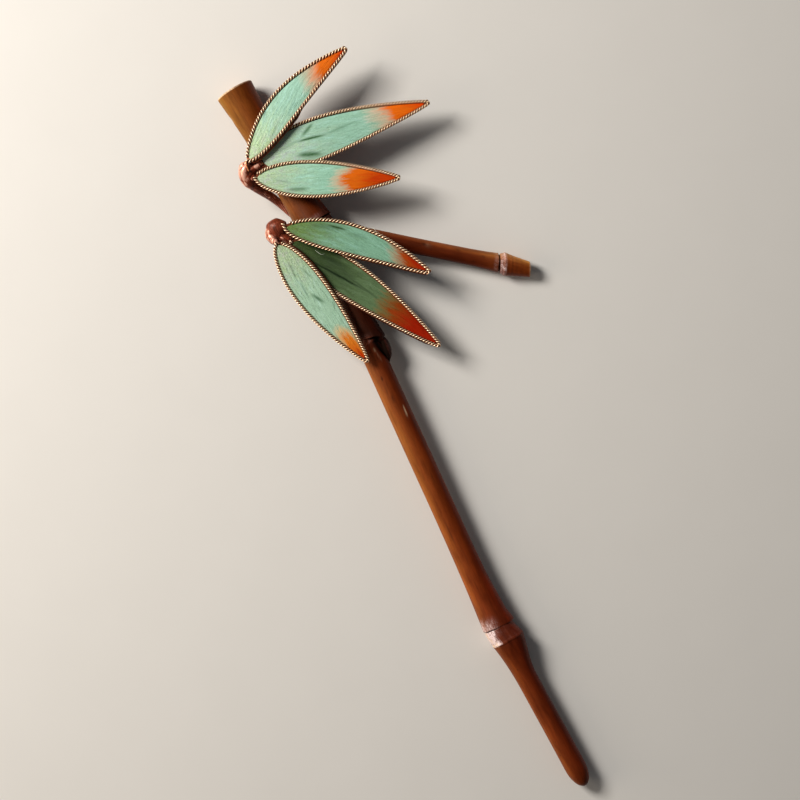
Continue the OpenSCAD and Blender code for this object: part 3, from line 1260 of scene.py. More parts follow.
    @staticmethod
    def node_bloom_and_glint(node: Node, away: float, angle: float, reach: float) -> float:
        """Tells how pale a node's skin is: chalky bloom, and painted glints on the side towards the key
        light.

        Args:
            node: The node.
            away: Distance past the node.
            angle: Angle round it, in radians.
            reach: Length of the node's ridge.

        Returns:
            The strength of the bloom.
        """
        # Strongest on the left, the side towards the key light: painted glints with the bloom.
        side = ease(0.5 - 0.75 * math.cos(angle - math.radians(-15)))
        patchy = 0.7 + 0.9 * speck_round(away * 0.9, angle, 5, node)
        if node is Node.LAST:
            # The last node's left third, which faces the key light, gets the most: painted glints.
            worn_and_lit = ease((-math.cos(angle) - 0.25) / 0.4)
            above = 0.5 * ease((0.35 - math.cos(angle)) / 0.6) + 0.4 * worn_and_lit
            above *= window(away, -1.2, -0.05, 2.4)
            band = (0.02 + 5.0 * worn_and_lit) * window(away, 0.2, reach - 0.15, 0.2)
            return min(3.4, patchy * (above * side + band))
        return clamp((0.25, 0.05)[node] * patchy * side * window(away, -0.6, reach, 1.0))


@dataclass(kw_only=True)
class SideBranch(Cane):
    """The thin shoot at the first node, with its root collar, its own node and a cut stub."""

    root: Vector
    end: Vector
    name: str = "side_branch_shoot"
    sides: int = 48
    collar: tuple[float, float] = (4.4, 6.0)
    groove_at: float = 41.5
    ridge_at: float = 42.9
    neck_at: float = 44.4
    shoot_r: float = 1.9
    ridge_r: float = 2.66
    end_r: float = 1.78
    swell: float = 2.2
    rows: list[tuple[float, float]] = field(init=False)

    def __post_init__(self) -> None:
        """Sets the branch between its root and its end, and lists its radii."""
        self.axis = Axis([(self.root, self.end)])
        self.stops = [*self.collar, self.groove_at, self.ridge_at, self.neck_at, self.axis.length]
        self.rows = [
            (0.0, 1.8), (3.4, 2.35), (4.4, 2.5), (5.0, 2.28), (5.4, 2.12), (5.6, 2.2), (6.2, 2.05),
            (7.4, 1.93), (12.0, self.shoot_r), (24.0, self.shoot_r - 0.05), (34.0, self.shoot_r),
            (36.5, self.shoot_r + 0.06), (38.5, 2.03), (40.3, 2.14),
            (self.groove_at - 0.12, self.swell + 0.02), (self.groove_at, self.swell - 0.3),
            (self.groove_at + 0.25, self.swell - 0.3),
            (self.groove_at + 0.42, 2.3), (self.ridge_at - 0.5, 2.44), (self.ridge_at, self.ridge_r),
            (self.ridge_at + 0.25, 2.62), (self.neck_at - 0.2, 2.42), (self.neck_at + 0.6, 2.26),
            (46.2, 2.10), (47.4, 1.93), (self.axis.length - 0.15, self.end_r),
            (self.axis.length, self.end_r - 0.08),
        ]

    def radius(self, run: float) -> float:
        """Returns the radius between the two nearest rows."""
        low, high, share = row_at(self.rows, run)
        return blend(low, high, ease(share))

    def shape(self, run: float, angle: float, radius: float) -> tuple[float, float, Marks]:
        """Works a point of the outline: knobs, the black groove, the tan band of bloom and painted
        highlight on the ridge, and the cut end.

        Args:
            run: Distance along it.
            angle: Angle round it, in radians.
            radius: The outline's radius there.

        Returns:
            The new distance, the new radius and the marks.
        """
        full = self.radius(run)
        end = self.axis.length
        lean = 0.75 * ease((run - 37.5) / 4.0) * (0.5 - 0.5 * math.cos(angle) * radius / max(full, 0.1))
        if radius < full - SKIN:
            cut = 1.0 if run > end - SKIN else 0.0
            dish = 0.15 * (1 - radius / max(full, 0.1)) * cut
            return run - dish + lean, radius, {"cut": cut, "wear": 0.0, "soot": 0.0, "bloom": 0.0}
        depth, wear, soot = self.blemished(run, angle, full)
        radius += 0.6 * self.relief(run + 200, angle)
        sway = speck(math.cos(angle) * 1.5, math.sin(angle) * 1.5, 40)
        soot = max(soot, 0.95 * window(run, self.groove_at + 0.02, self.groove_at + 0.2, 0.10))
        # The pale band on the ridge is chalky bloom and painted highlight.
        bloom = 0.68 * window(run, self.groove_at + 0.6, self.ridge_at + 0.1, 0.5)
        bloom = max(bloom, 0.16 * window(run, self.groove_at - 0.7, self.groove_at - 0.2, 0.6))
        bloom *= 0.7 + 0.9 * speck_round(run, angle, 3, 5)
        nick = max(0.0, speck(math.cos(angle) * 7, math.sin(angle) * 7, 21))
        radius -= 0.12 * nick * window(run, self.groove_at - 0.4, self.groove_at, 0.2)
        lean += 0.16 * sway * window(run, self.groove_at - 0.5, self.ridge_at + 1.0, 1.4)
        rim = 0.5 * window(run, end - 0.15, end, 0.1)
        marks = {"cut": 0.0, "wear": max(wear, rim), "soot": soot, "bloom": clamp(bloom)}
        return run + lean, radius - depth, marks


@dataclass(frozen=True)
class BudScale:
    """The dormant bud under its scale, pressed to the stick below the second node."""

    root: Vector
    tip: Vector
    rows: tuple[tuple[float, float], ...]
    inner: float = 0.62
    sides: int = 48
    rings: int = 56

    def build(self, material: bpy.types.Material) -> bpy.types.Object:
        """Builds the bud with the overlap of its two scale halves and its fine ribs.

        Args:
            material: The piece's finish.

        Returns:
            The finished object.
        """
        piece = Workpiece("bud_scale", ("grain",), BAMBOO_MARKS)
        rows = [(0.0, 0.45), *self.rows, (1.0, 0.08)]
        track = Track([Vector((share, radius, 0.0)) for share, radius in rows], detail=8)
        outline = [(p.x, p.y) for p in track.points]
        way = self.tip - self.root

        def place(around: float, along: float) -> tuple[Vector, Marks]:
            """Lays the scale's skin.

            Args:
                around: Share round, 0 to 1.
                along: Share along, 0 to 1.

            Returns:
                The place and the attributes.
            """
            radius = blend(*row_at(outline, along))
            angle = TURN * around
            y = math.cos(angle) * radius
            z = math.sin(angle) * radius * 1.15
            rib = 0.028 * math.sin(angle * 9 + 2 * along) + 0.05 * speck(along * 3, y * 2, z * 2)
            seam = math.exp(-((z - 0.35 + 0.5 * along) / 0.09) ** 2) * (1.0 if y > 0 else 0.0)
            y *= 1 + rib * 0.6 - 0.10 * seam
            z *= 1 + rib * 0.4
            if y < 0:
                y *= self.inner
            hook = -0.35 * ease((along - 0.7) / 0.3)
            spot = self.root + way * along + Vector((0.0, y + hook + 0.36, z))
            # Darker on the side pressed to the stick and at the foot, which is painted shade in the slit,
            # and along the seam of the scale halves.
            soot = clamp(ease((0.42 - y) / 0.3) + 0.55 * seam + 0.6 * window(along, -1, 0.02, 0.05))
            marks = {"grain": Vector((65.7 + along * 6, y, z)), "wear": 0.0, "soot": soot,
                     "bloom": 0.05 * ease(y / 0.8), "cut": 0.0}
            return spot, marks

        piece.sleeve(self.sides, self.rings, place)
        return piece.finish(material, Slot.BAMBOO)


# ---- leaves


@dataclass(frozen=True)
class Smear:
    """A dark streak in a feather, in millimetres along and across the leaf, and degrees."""

    x: float
    y: float
    length: float
    width: float
    angle: float
    strength: float

    def weight(self, x: float, y: float) -> float:
        """Tells how dark the streak is at a place.

        Args:
            x: Distance along the leaf.
            y: Distance across it.

        Returns:
            Its strength in the middle, falling to 0.
        """
        slant = math.radians(self.angle)
        run = (x - self.x) * math.cos(slant) + (y - self.y) * math.sin(slant)
        side = (y - self.y) * math.cos(slant) - (x - self.x) * math.sin(slant)
        if abs(run) > self.length or abs(side) > 3 * self.width:
            return 0.0
        thin = self.width * (1 - 0.5 * abs(run) / self.length)
        return self.strength * math.exp(-((run / (self.length / 2)) ** 4) - (side / thin) ** 2)


@dataclass(frozen=True)
class Leaf:
    """One leaf of a sprig: its backing plate, its rim of twisted wire, its stalk and its feather.

    The blade is drawn along X from its base, with Y to its left, and the middle of the rim wire at 0.
    """

    code: str
    base: Vector
    length: float
    direction: float
    pitch: float
    roll: float
    half_width: float
    widest: float
    camber: float
    droop: float
    bead: float
    finish: FeatherFinish
    smears: tuple[Smear, ...]
    seed: int
    slot: Slot = Slot.PALE_FEATHER
    skirt_left: float = 0.0
    skirt_right: float = 0.0
    skirt_span: tuple[float, float] = (0.05, 0.9)
    overrun: float = 0.6
    shy: float = 0.45
    stray: tuple[Point, ...] = ()
    bare: float = 0.0
    wisps: tuple[tuple[Point, ...], ...] = ()
    wire_off: float = 0.245
    wire_r: float = 0.155
    shade_core_r: float = 0.21
    strand_ring: float = 0.1
    tip_r: float = 0.40
    root_half: float = 0.24
    plate_top: float = -0.29
    plate_low: float = -0.74
    ledge: float = 0.22
    seat: float = 0.43
    stalk_r: float = 0.34
    stalk: tuple[tuple[float, float], ...] = (
        (-0.9, -0.5), (-0.3, -0.6), (0.6, -0.74), (2.2, -0.8), (4.5, -0.82))
    stray_r: float = 0.19
    barbs: int = 240

    # -- the blade's shape

    def half(self, share: float) -> float:
        """Returns the half width between the rim wires' middles at a share of the length."""
        power = math.log(0.5) / math.log(self.widest)
        return self.half_width * max(0.0, math.sin(math.pi * clamp(share) ** power)) ** 0.8

    def bow(self, share: float) -> float:
        """Returns the sideways bow of the middle line."""
        return self.camber * math.sin(math.pi * clamp(share))

    def sag(self, share: float) -> float:
        """Returns the droop of the middle line."""
        return -self.droop * clamp(share) ** 2

    def slope(self, share: float) -> float:
        """Tells how much wider a width across the blade is than one square to its outline.

        Args:
            share: Share of the leaf's length.

        Returns:
            The factor, at least 1.
        """
        low, high = max(0.001, share - 0.01), min(0.999, share + 0.01)
        rise = (self.half(high) - self.half(low)) / ((high - low) * self.length)
        return min(3.0, math.sqrt(1 + rise * rise))

    def matrix(self) -> Matrix:
        """Works out how the leaf is set in its place, in design millimetres.

        Returns:
            The matrix.
        """
        return (Matrix.Translation(self.base) @ Matrix.Rotation(math.radians(self.direction), 4, "Z")
                @ Matrix.Rotation(math.radians(-self.pitch), 4, "Y")
                @ Matrix.Rotation(math.radians(self.roll), 4, "X"))

    def local(self, x: float, y: float, z: float) -> Vector:
        """Returns a point of the blade, with its bow and droop, in the leaf's own frame."""
        share = x / self.length
        return Vector((x, y + self.bow(share), z + self.sag(share)))

    # -- the backing plate

    def build_plate(self, material: bpy.types.Material) -> bpy.types.Object:
        """Builds the plate under the feather, with a side wall that slopes out where it shows.

        Args:
            material: The piece's finish.

        Returns:
            The finished object.
        """
        piece = Workpiece(f"leaf_{self.code}_plate", ("blade",))
        matrix = self.matrix()
        low, top = self.plate_low, self.plate_top
        centre = self.tip_share() * self.length
        round_r = self.tip_r + self.ledge
        start = 0.003
        reach = (centre + round_r - 0.02 - start * self.length) / self.length
        under, wall, over = 0.4, 0.1, 0.9

        def place(around: float, along: float) -> tuple[Vector, Marks]:
            """Lays the underside, the left wall, the top and the right wall.

            Args:
                around: Share round, 0 to 1.
                along: Share along, 0 to 1.

            Returns:
                The place and the attributes.
            """
            share = start + reach * along ** 1.25
            past = max(0.0, share * self.length - centre)
            if past:
                left = right = shelf = math.sqrt(round_r * round_r - past * past)
            else:
                wide = max(self.half(share), 0.25)
                stretch = self.slope(share)
                fade = window(share, *self.skirt_span, 0.08)
                shelf = wide + self.ledge * stretch
                left = shelf + 0.04 + self.skirt_left * fade
                right = shelf + 0.04 + self.skirt_right * fade
            if around < under:
                y, z = blend(-right, left, around / under), low
            elif around < under + wall:
                t = (around - under) / wall
                y, z = blend(left, shelf, t * t), blend(low, top + 0.1, t)
            elif around < over:
                t = (around - under - wall) / under
                y, z = blend(shelf, -shelf, t), top
            else:
                t = (around - over) / wall
                y, z = blend(-shelf, -right, 1 - (1 - t) ** 2), blend(top + 0.1, low, t)
            x = share * self.length
            return matrix @ self.local(x, y, z), {"blade": Vector((x, y, z))}

        piece.sleeve(40, 90, place)
        return piece.finish(material, Slot.GILT_WIRE, (f"leaf_{self.code}_frame",), crease=40.0)

    # -- the rim of twisted wire

    def tip_share(self) -> float:
        """Returns the share of the length where the rim begins to turn round the tip."""
        return max(s / 1000 for s in range(500, 1000) if self.half(s / 1000) > self.tip_r)

    def outline(self) -> list[Vector]:
        """Lists the points of the rim wire's middle, up the left side, round the tip and back.

        Returns:
            The points.
        """
        steps = 160
        start = 0.0035
        turn = self.tip_share()
        shares = [start + (turn - start) * (i / steps) ** 1.5 for i in range(steps + 1)]
        sides = []
        for sign in (1, -1):
            bare = self.shy if sign > 0 else self.bare
            first = min(i for i, s in enumerate(shares) if s * self.length > bare)
            sides.append([self.local(s * self.length, sign * max(self.half(s), self.root_half), 0.0)
                          for s in shares[first:]])
        centre = self.local(shares[-1] * self.length, 0.0, 0.0)
        turns = [math.pi * (0.5 - step / 8) for step in range(1, 8)]
        tip = [centre + Vector((math.cos(t), math.sin(t), 0.0)) * self.tip_r for t in turns]
        left, right = sides
        ends = [self.local(0.05 - 0.6 * e, -0.24 + 0.8 * e, 0.05 * e)
                for e in (0.3 * self.overrun, 0.65 * self.overrun, self.overrun) if e > 0]
        matrix = self.matrix()
        return [matrix @ p for p in [*left, *tip, *reversed(right), *ends]]

    def build_rim(self, material: bpy.types.Material) -> bpy.types.Object:
        """Builds the two strands of the rim wire round a dark core that stands for the shade between them,
        the stalk and the cut ends.

        Args:
            material: The piece's finish.

        Returns:
            The finished object.
        """
        piece = Workpiece(f"leaf_{self.code}_rim_wire", (), ("crown",))
        top = (self.matrix().to_3x3() @ UP).normalized()
        track = Track(self.outline(), detail=1, up=top)
        twist = TURN / (2 * self.bead)

        def core(run: float, phase: float) -> tuple[Vector, Vector, Vector]:
            """Finds the middle of a strand.

            Args:
                run: Distance along the wire.
                phase: Angle at which the strand starts.

            Returns:
                The strand's middle, the way out from the wire's middle, and the wire's middle.
            """
            point, _, high, left, _ = track.at(run / track.length)
            out = spoke(high, left, phase + run * twist)
            loose = 0.06 * (1 - ease(run / 0.9)) + 0.16 * (1 - ease((track.length - run) / 1.0))
            return point + out * (self.wire_off + loose), out, point

        for phase in (0.0, math.pi):
            def place(around: float, along: float, phase: float = phase) -> tuple[Vector, Marks]:
                """Lays a strand's skin.

                Args:
                    around: Share round, 0 to 1.
                    along: Share along, 0 to 1.
                    phase: Angle at which the strand starts.

                Returns:
                    The place and the attributes.
                """
                run = along * track.length
                middle, out, axis = core(run, phase)
                ahead = core(min(track.length, run + 0.02), phase)[0]
                way = (ahead - core(max(0.0, run - 0.02), phase)[0]).normalized()
                out = (out - way * out.dot(way)).normalized()
                radius = self.wire_r * end_cap(run, track.length, self.wire_r)
                angle = TURN * around
                spot = middle + spoke(out, way.cross(out), angle) * radius
                # Painted shade: the strand is painted darker on the wire's side away from the key light.
                tarnish_and_shade = 0.12 * ease((spot - axis).dot(SHADED_SIDE) / 0.36)
                return spot, {"crown": (0.5 + 0.5 * math.cos(angle)) * (1 - tarnish_and_shade)}

            piece.sleeve(8, int(track.length / self.strand_ring), place)
        # The dark core wire is painted shade: it fills the gaps between the strands.
        self._add_wire(piece, track, self.shade_core_r, 0.0, 400)
        matrix = self.matrix()
        under = Track([matrix @ self.local(x, 0.0, z) for x, z in self.stalk], detail=6)
        self._add_wire(piece, under, self.stalk_r, 0.45)
        if self.stray:
            self._add_wire(piece, Track([Vector(p) for p in self.stray], detail=6), self.stray_r, 0.66)
        return piece.finish(material, Slot.GILT_WIRE, (f"leaf_{self.code}_frame",), crease=80.0)

    def _add_wire(self, piece: Workpiece, track: Track, thick: float, crown: float,
                  rings: int = 44) -> None:
        """Adds a plain round wire with rounded ends, such as the stalk under the blade.

        Args:
            piece: The piece that takes it.
            track: The wire's middle.
            thick: Its radius.
            crown: How bright it is, 0 to 1.
            rings: Faces along it.
        """
        def place(around: float, along: float) -> tuple[Vector, Marks]:
            """Lays the wire's skin.

            Args:
                around: Share round, 0 to 1.
                along: Share along, 0 to 1.

            Returns:
                The place and the attributes.
            """
            point, _, high, left, _ = track.at(along)
            radius = thick * end_cap(along * track.length, track.length, thick)
            return point + spoke(high, left, TURN * around) * radius, {"crown": crown}

        piece.sleeve(12, rings, place)

    # -- the feather

    def lie(self, x: float, y: float) -> tuple[float, float]:
        """Turns a place on the blade into a distance along the barbs and one across them.

        Args:
            x: Distance along the leaf.
            y: Distance across it.

        Returns:
            Both distances.
        """
        slant = math.radians(self.finish.barb_angle)
        drift = 0.7 * speck(x * 0.16, y * 0.3, self.seed)
        return (x * math.cos(slant) + y * math.sin(slant),
                y * math.cos(slant) - x * math.sin(slant) + drift)

    def lock_of(self, across: float, along: float) -> tuple[float, int]:
        """Finds the lock of barbs that a place is in.

        Args:
            across: Distance across the barbs.
            along: Distance along them.

        Returns:
            How far into the lock it is, 0 to 1, and the lock's number.
        """
        place = across / 0.85 + 0.5 * speck(across * 0.6, along * 0.12, self.seed + 3)
        number = math.floor(place)
        return place - number, number

    def surface(self, x: float, y: float, half: float) -> tuple[float, float]:
        """Works out the feather's relief.

        Args:
            x: Distance along the leaf.
            y: Distance across it.
            half: The feather's half width there.

        Returns:
            The height and the tone.
        """
        side = clamp(y / max(half, 0.1), -1, 1)
        along, across = self.lie(x, y)
        inside, number = self.lock_of(across, along)
        lock = random.Random(number * 77 + self.seed).random()
        edge = 1 - abs(side) ** 8
        fine = 0.014 * math.sin(TURN * across / 0.30 + 2 * speck(along * 0.5, across, 5.0))
        rough = 0.018 * speck(along * 0.5, across * 3.2, self.seed + 1.5)
        shingle = 0.055 * (inside - 0.5)
        crown = 0.15 * min(1.0, half / self.half_width * 2) * (1 - side * side)
        swell = 0.04 * speck(x * 0.25, y * 0.5, self.seed + 9)
        height = self.plate_top + 0.21 + crown + swell + edge * (fine + rough + shingle)
        # The tone is random from lock to lock, and higher on each lock's raised edge and on the relief's
        # crests: painted highlight.
        return height, clamp(0.25 + 0.5 * lock * (0.35 + 0.65 * inside) + 6 * (fine + rough))

    def inlay_half(self, share: float) -> float:
        """Returns the feather's half width, up to the inner side of the rim wire."""
        return self.half(share) - self.seat * self.slope(share)

    def build_feather(self, material: bpy.types.Material) -> bpy.types.Object:
        """Builds the crowned vane with its barb relief, and the loose barbs that lie on it.

        Args:
            material: The piece's finish.

        Returns:
            The finished object.
        """
        piece = Workpiece(f"leaf_{self.code}_vane", ("blade",), ("tone", "stain", "wisp"))
        matrix = self.matrix()
        wide = [s / 400 for s in range(1, 400) if self.inlay_half(s / 400) > 0.12]
        first, last = wide[0], wide[-1]
        floor = self.plate_top + 0.02
        top_share = 0.84

        def marks(x: float, y: float, half: float, tone: float) -> Marks:
            """Collects a point's attributes.

            Args:
                x: Distance along the leaf.
                y: Distance across it.
                half: The feather's half width there.
                tone: How light it is.

            Returns:
                The attributes.
            """
            stain = clamp(sum(s.weight(x, y) for s in self.smears))
            return {"blade": Vector((x, y, clamp(y / max(half, 0.1), -1, 1))), "tone": tone, "stain": stain,
                    "wisp": 0.0}

        def place(around: float, along: float) -> tuple[Vector, Marks]:
            """Lays the vane's skin.

            Args:
                around: Share round, 0 to 1.
                along: Share along, 0 to 1.

            Returns:
                The place and the attributes.
            """
            share = blend(first, last, along)
            x = share * self.length
            half = max(0.1, self.inlay_half(share))
            ragged = half + 0.05 * speck(x * 2.2, 1.0 if around < top_share / 2 else 5.0, self.seed)
            if around < top_share:
                side = 1 - 2 * around / top_share
                y = ragged * side
                z, tone = self.surface(x, y, half)
                z -= 0.15 * abs(side) ** 7
            else:
                y = ragged * blend(-1, 1, (around - top_share) / (1 - top_share))
                z, tone = floor, 0.3
            if along in (0.0, 1.0):
                z = min(z, floor + 0.08)
            return matrix @ self.local(x, y, z), marks(x, y, half, tone)

        draw = random.Random(900 + self.seed)
        for _ in range(self.barbs):
            self._add_barb(piece, draw, first, last, marks)
        for knots in self.wisps:
            self._add_wisp(piece, knots)
        piece.sleeve(74, 300, place)
        return piece.finish(material, self.slot, (f"leaf_{self.code}_feather",), crease=70.0)

    def _add_barb(self, piece: Workpiece, draw: random.Random, first: float, last: float,
                  marks: Callable[[float, float, float, float], Marks]) -> None:
        """Lays one loose barb on the vane: a thin strand that rises a little and dips back in.

        Args:
            piece: The piece that takes it.
            draw: Where its random numbers come from.
            first: Share of the length where the vane begins.
            last: Share of the length where the vane ends.
            marks: Gives a point's attributes.
        """
        matrix = self.matrix()
        share = blend(first, last - 0.05, draw.random())
        side = draw.uniform(-0.86, 0.86)
        slant = math.radians(self.finish.barb_angle + draw.gauss(0, 7))
        span = draw.uniform(0.8, 2.6)
        thick = draw.uniform(0.022, 0.042)
        lift = draw.uniform(0.01, 0.05)
        curl = draw.uniform(-0.2, 0.2)
        tone = draw.random() ** 0.7
        x0 = share * self.length
        y0 = side * max(0.1, self.inlay_half(share))

        def place(around: float, along: float) -> tuple[Vector, Marks]:
            """Lays the barb's skin.

            Args:
                around: Share round, 0 to 1.
                along: Share along, 0 to 1.

            Returns:
                The place and the attributes.
            """
            run = along * span
            x = x0 + run * math.cos(slant) - curl * math.sin(math.pi * along) * math.sin(slant)
            y = y0 + run * math.sin(slant) + curl * math.sin(math.pi * along) * math.cos(slant)
            x = min(x, last * self.length)
            half = max(0.1, self.inlay_half(x / self.length))
            y = clamp(y, -half * 0.95, half * 0.95)
            z, _ = self.surface(x, y, half)
            arch = lift * math.sin(math.pi * along) - 0.02
            angle = TURN * around
            fine = thick * (0.35 + 0.65 * math.sin(math.pi * clamp(along, 0.08, 0.92)))
            y += fine * math.cos(angle)
            z += arch + fine * 0.7 * math.sin(angle)
            return matrix @ self.local(x, y, z), marks(x, y, half, tone)

        piece.sleeve(3, 7, place)

    def _add_wisp(self, piece: Workpiece, knots: Sequence[Point]) -> None:
        """Adds a pale stray fibre that curls over the leaf, through points on the blade.

        Args:
            piece: The piece that takes it.
            knots: The points.
        """
        matrix = self.matrix()
        track = Track([matrix @ self.local(*k) for k in knots], detail=6)

        def place(around: float, along: float) -> tuple[Vector, Marks]:
            """Lays the fibre's skin.

            Args:
                around: Share round, 0 to 1.
                along: Share along, 0 to 1.

            Returns:
                The place and the attributes.
            """
            point, _, high, left, _ = track.at(along)
            radius = 0.045 * math.sin(math.pi * clamp(along, 0.06, 0.94)) ** 0.5
            spot = point + spoke(high, left, TURN * around) * radius
            return spot, {"blade": Vector(knots[0]), "tone": 1.0, "stain": 0.0, "wisp": 1.0}

        piece.sleeve(5, 24, place)

    # -- all of it

    def build(self, plate: bpy.types.Material, gilt: bpy.types.Material) -> None:
        """Builds the leaf's three pieces.

        Args:
            plate: The backing plate's finish.
            gilt: The wire's finish.
        """
        self.build_plate(plate)
        self.build_rim(gilt)
        self.build_feather(self.finish.make(self.code, self.length))


# ---- bindings


@dataclass(frozen=True)
class Pedicel:
    """The bound wire that carries one leaf: the leaf, and the points from it into the knot."""

    leaf: Leaf
    beads: tuple[Bead, ...]
    neck: tuple[tuple[float, float], ...] = ((0.05, 0.46), (-0.6, 0.6))
    sink: float = -0.8


@dataclass(frozen=True)
class Binding:
    """The wound thread that gathers the stalks of one sprig in a knot and enters the stick."""

    code: str
    stem: tuple[Bead, ...]
    pedicels: tuple[Pedicel, ...]
    knot_from: float
    loose_ends: tuple[tuple[Bead, ...], ...] = ()
    # Crossings are dark thread laps laid into the gaps round the knot, where there is only shade: painted
    # shade.
    crossings: tuple[tuple[Bead, ...], ...] = ()
    # Spots round which the thread is painted with a highlight.
    painted_sheen: tuple[Bead, ...] = ()
    flat: float = 1.0
    lumpy: float = 1.0
    thread_pitch: float = 0.42
    thread_depth: float = 0.06
    ribbon_pitch: float = 2.6
    ribbon_step: float = 0.13
    ring: float = 0.07

    def build(self, material: bpy.types.Material) -> bpy.types.Object:
        """Builds the stem with its knot, the pedicels and the loose thread ends.

        Args:
            material: The piece's finish.

        Returns:
            The finished object.
        """
        piece = Workpiece(f"binding_{self.code}_thread", ("wind",), ("crown",))
        self._add_winding(piece, Track.strung(self.stem, UP), 64, self.knot_from, 1.1)
        for pedicel in self.pedicels:
            leaf = pedicel.leaf
            neck = [(leaf.matrix() @ leaf.local(x, 0.0, pedicel.sink), r) for x, r in pedicel.neck]
            self._add_winding(piece, Track.strung([*neck, *pedicel.beads]), 32, 0.35, 0.3)
        for beads in self.loose_ends:
            self._add_winding(piece, Track.strung(beads), 12, 0.0, 0.2)
        for beads in self.crossings:
            self._add_winding(piece, Track.strung(beads), 32, 0.0, 0.8)
        return piece.finish(material, Slot.THREAD, (f"binding_{self.code}",), crease=80.0)

    def _add_winding(self, piece: Workpiece, track: Track, sides: int, knot_from: float,
                     reach: float) -> None:
        """Adds a closed sleeve: fine turns of thread first, and laps of flat ribbon over the knot.

        Args:
            piece: The piece that takes the sleeve.
            track: The line, with its radii.
            sides: Faces round the sleeve.
            knot_from: Share of the length where the ribbon begins.
            reach: Length over which each end rounds off.
        """
        def place(around: float, along: float) -> tuple[Vector, Marks]:
            """Lays the turns of thread or ribbon.

            Args:
                around: Share round, 0 to 1.
                along: Share along, 0 to 1.

            Returns:
                The place and the attributes.
            """
            run = along * track.length
            point, _, high, left, radius = track.at(along)
            angle = TURN * around
            knotted = ease((along - knot_from) / 0.12 + 0.5)
            slip = 0.35 * speck_round(run * 0.5, angle, 1, 4.0)
            ridge = abs(math.cos(math.pi * (run / self.thread_pitch + around + slip)))
            deep = self.thread_depth * (0.7 + 0.8 * speck_round(run * 0.7, angle, 1))
            lap = (run / self.ribbon_pitch + 2 * around + 0.8 * slip) % 1.0
            lap = min(lap / 0.86, (1 - lap) / 0.14)
            cap = end_cap(run, track.length, reach, 0.03)
            lump = 0.06 * self.lumpy * speck_round(run * 0.45, angle, 1.3, 8)
            fold = math.sin(TURN * (4 * around + run / 15) + 4 * speck(run * 0.2, math.cos(angle), 2.0))
            silk = 0.010 * math.sin(TURN * (9 * around + run / 1.3)) + 0.035 * self.lumpy * fold
            stepped = blend(deep * (ridge - 0.7), self.ribbon_step * (lap - 0.6) + silk, knotted)
            radius = (radius * (1 + lump) + stepped * min(1.0, radius)) * cap
            squash = blend(1.0, self.flat, knotted)
            spot = point + high * (math.cos(angle) * radius * squash) + left * (math.sin(angle) * radius)
            wind = Vector((run, math.cos(angle) * radius, math.sin(angle) * radius))
            # Painted light and shade: crown is high on the turns' ridges and the laps, low in the valleys,
            # and higher near the painted sheen spots.
            glow = max((1 - (spot - Vector(p)).length / r for p, r in self.painted_sheen), default=0.0)
            painted_highlight = ease(1.8 * glow)
            ribbon = 0.39 + 0.26 * self.lumpy * (lap - 0.5)
            crown = blend(0.6 * ridge, ribbon, knotted) + (0.48 + 0.24 * fold) * painted_highlight
            return spot, {"wind": wind, "crown": clamp(crown)}

        piece.sleeve(sides, max(24, int(track.length / self.ring)), place)


# ---- studio


@dataclass(frozen=True)
class SoftBox:
    """A square soft light that looks at the middle of the object."""

    name: str
    place: Point
    aim: Point
    size: float
    power: float
    colour: tuple[float, float, float]

    def build(self) -> None:
        """Hangs the light."""
        lamp = bpy.data.lights.new(self.name, "AREA")
        lamp.shape = "SQUARE"
        lamp.size = self.size
        lamp.energy = self.power
        lamp.color = self.colour
        hung = linked(self.name, lamp)
        hung.location = self.place
        way = Vector(self.aim) - Vector(self.place)
        hung.rotation_euler = way.to_track_quat("-Z", "Y").to_euler()


@dataclass(frozen=True)
class Studio:
    """The pale floor, the soft lights and the camera at the photograph's angle."""

    camera_place: Point = (-0.00872, -0.01348, 0.515)
    camera_turn: float = 65.5
    lens: float = 100.0
    sensor: float = 36.0
    floor_reach: float = 3.0
    sky: Colour = (0.92, 0.96, 1.0, 1.0)
    sky_strength: float = 0.10
    lights: tuple[SoftBox, ...] = (
        SoftBox("key_light", (-0.343, -0.245, 0.36), (-0.02, 0.0, 0.0), 0.19, 3.25, (1.0, 0.97, 0.92)),
        SoftBox("side_light", (-0.16, -0.50, 0.20), (0.0, 0.0, 0.0), 0.30, 0.95, (1.0, 0.86, 0.70)),
    )

    def build(self) -> None:
        """Sets up the camera, the floor, the world and the lights."""
        scene = bpy.context.scene
        lens = bpy.data.cameras.new("camera")
        lens.lens = self.lens
        lens.sensor_width = self.sensor
        lens.clip_start = 0.01
        lens.clip_end = 20.0
        camera = linked("camera", lens)
        camera.location = self.camera_place
        camera.rotation_euler = (0.0, 0.0, math.radians(self.camera_turn))
        scene.camera = camera
        bm = bmesh.new()
        bmesh.ops.create_grid(bm, x_segments=1, y_segments=1, size=self.floor_reach)
        mesh = bpy.data.meshes.new("floor")
        bm.to_mesh(mesh)
        bm.free()
        mesh.materials.append(FloorFinish().make())
        linked("floor", mesh)
        world = bpy.data.worlds.new("studio")
        world.use_nodes = True
        board = Board(world.node_tree)
        sky = board.node("ShaderNodeBackground", {}, {"Color": self.sky, "Strength": self.sky_strength})
        board.node_out("ShaderNodeOutputWorld", sky)
        scene.world = world
        scene.view_settings.view_transform = "Standard"
        for light in self.lights:
            light.build()


# ---- the object


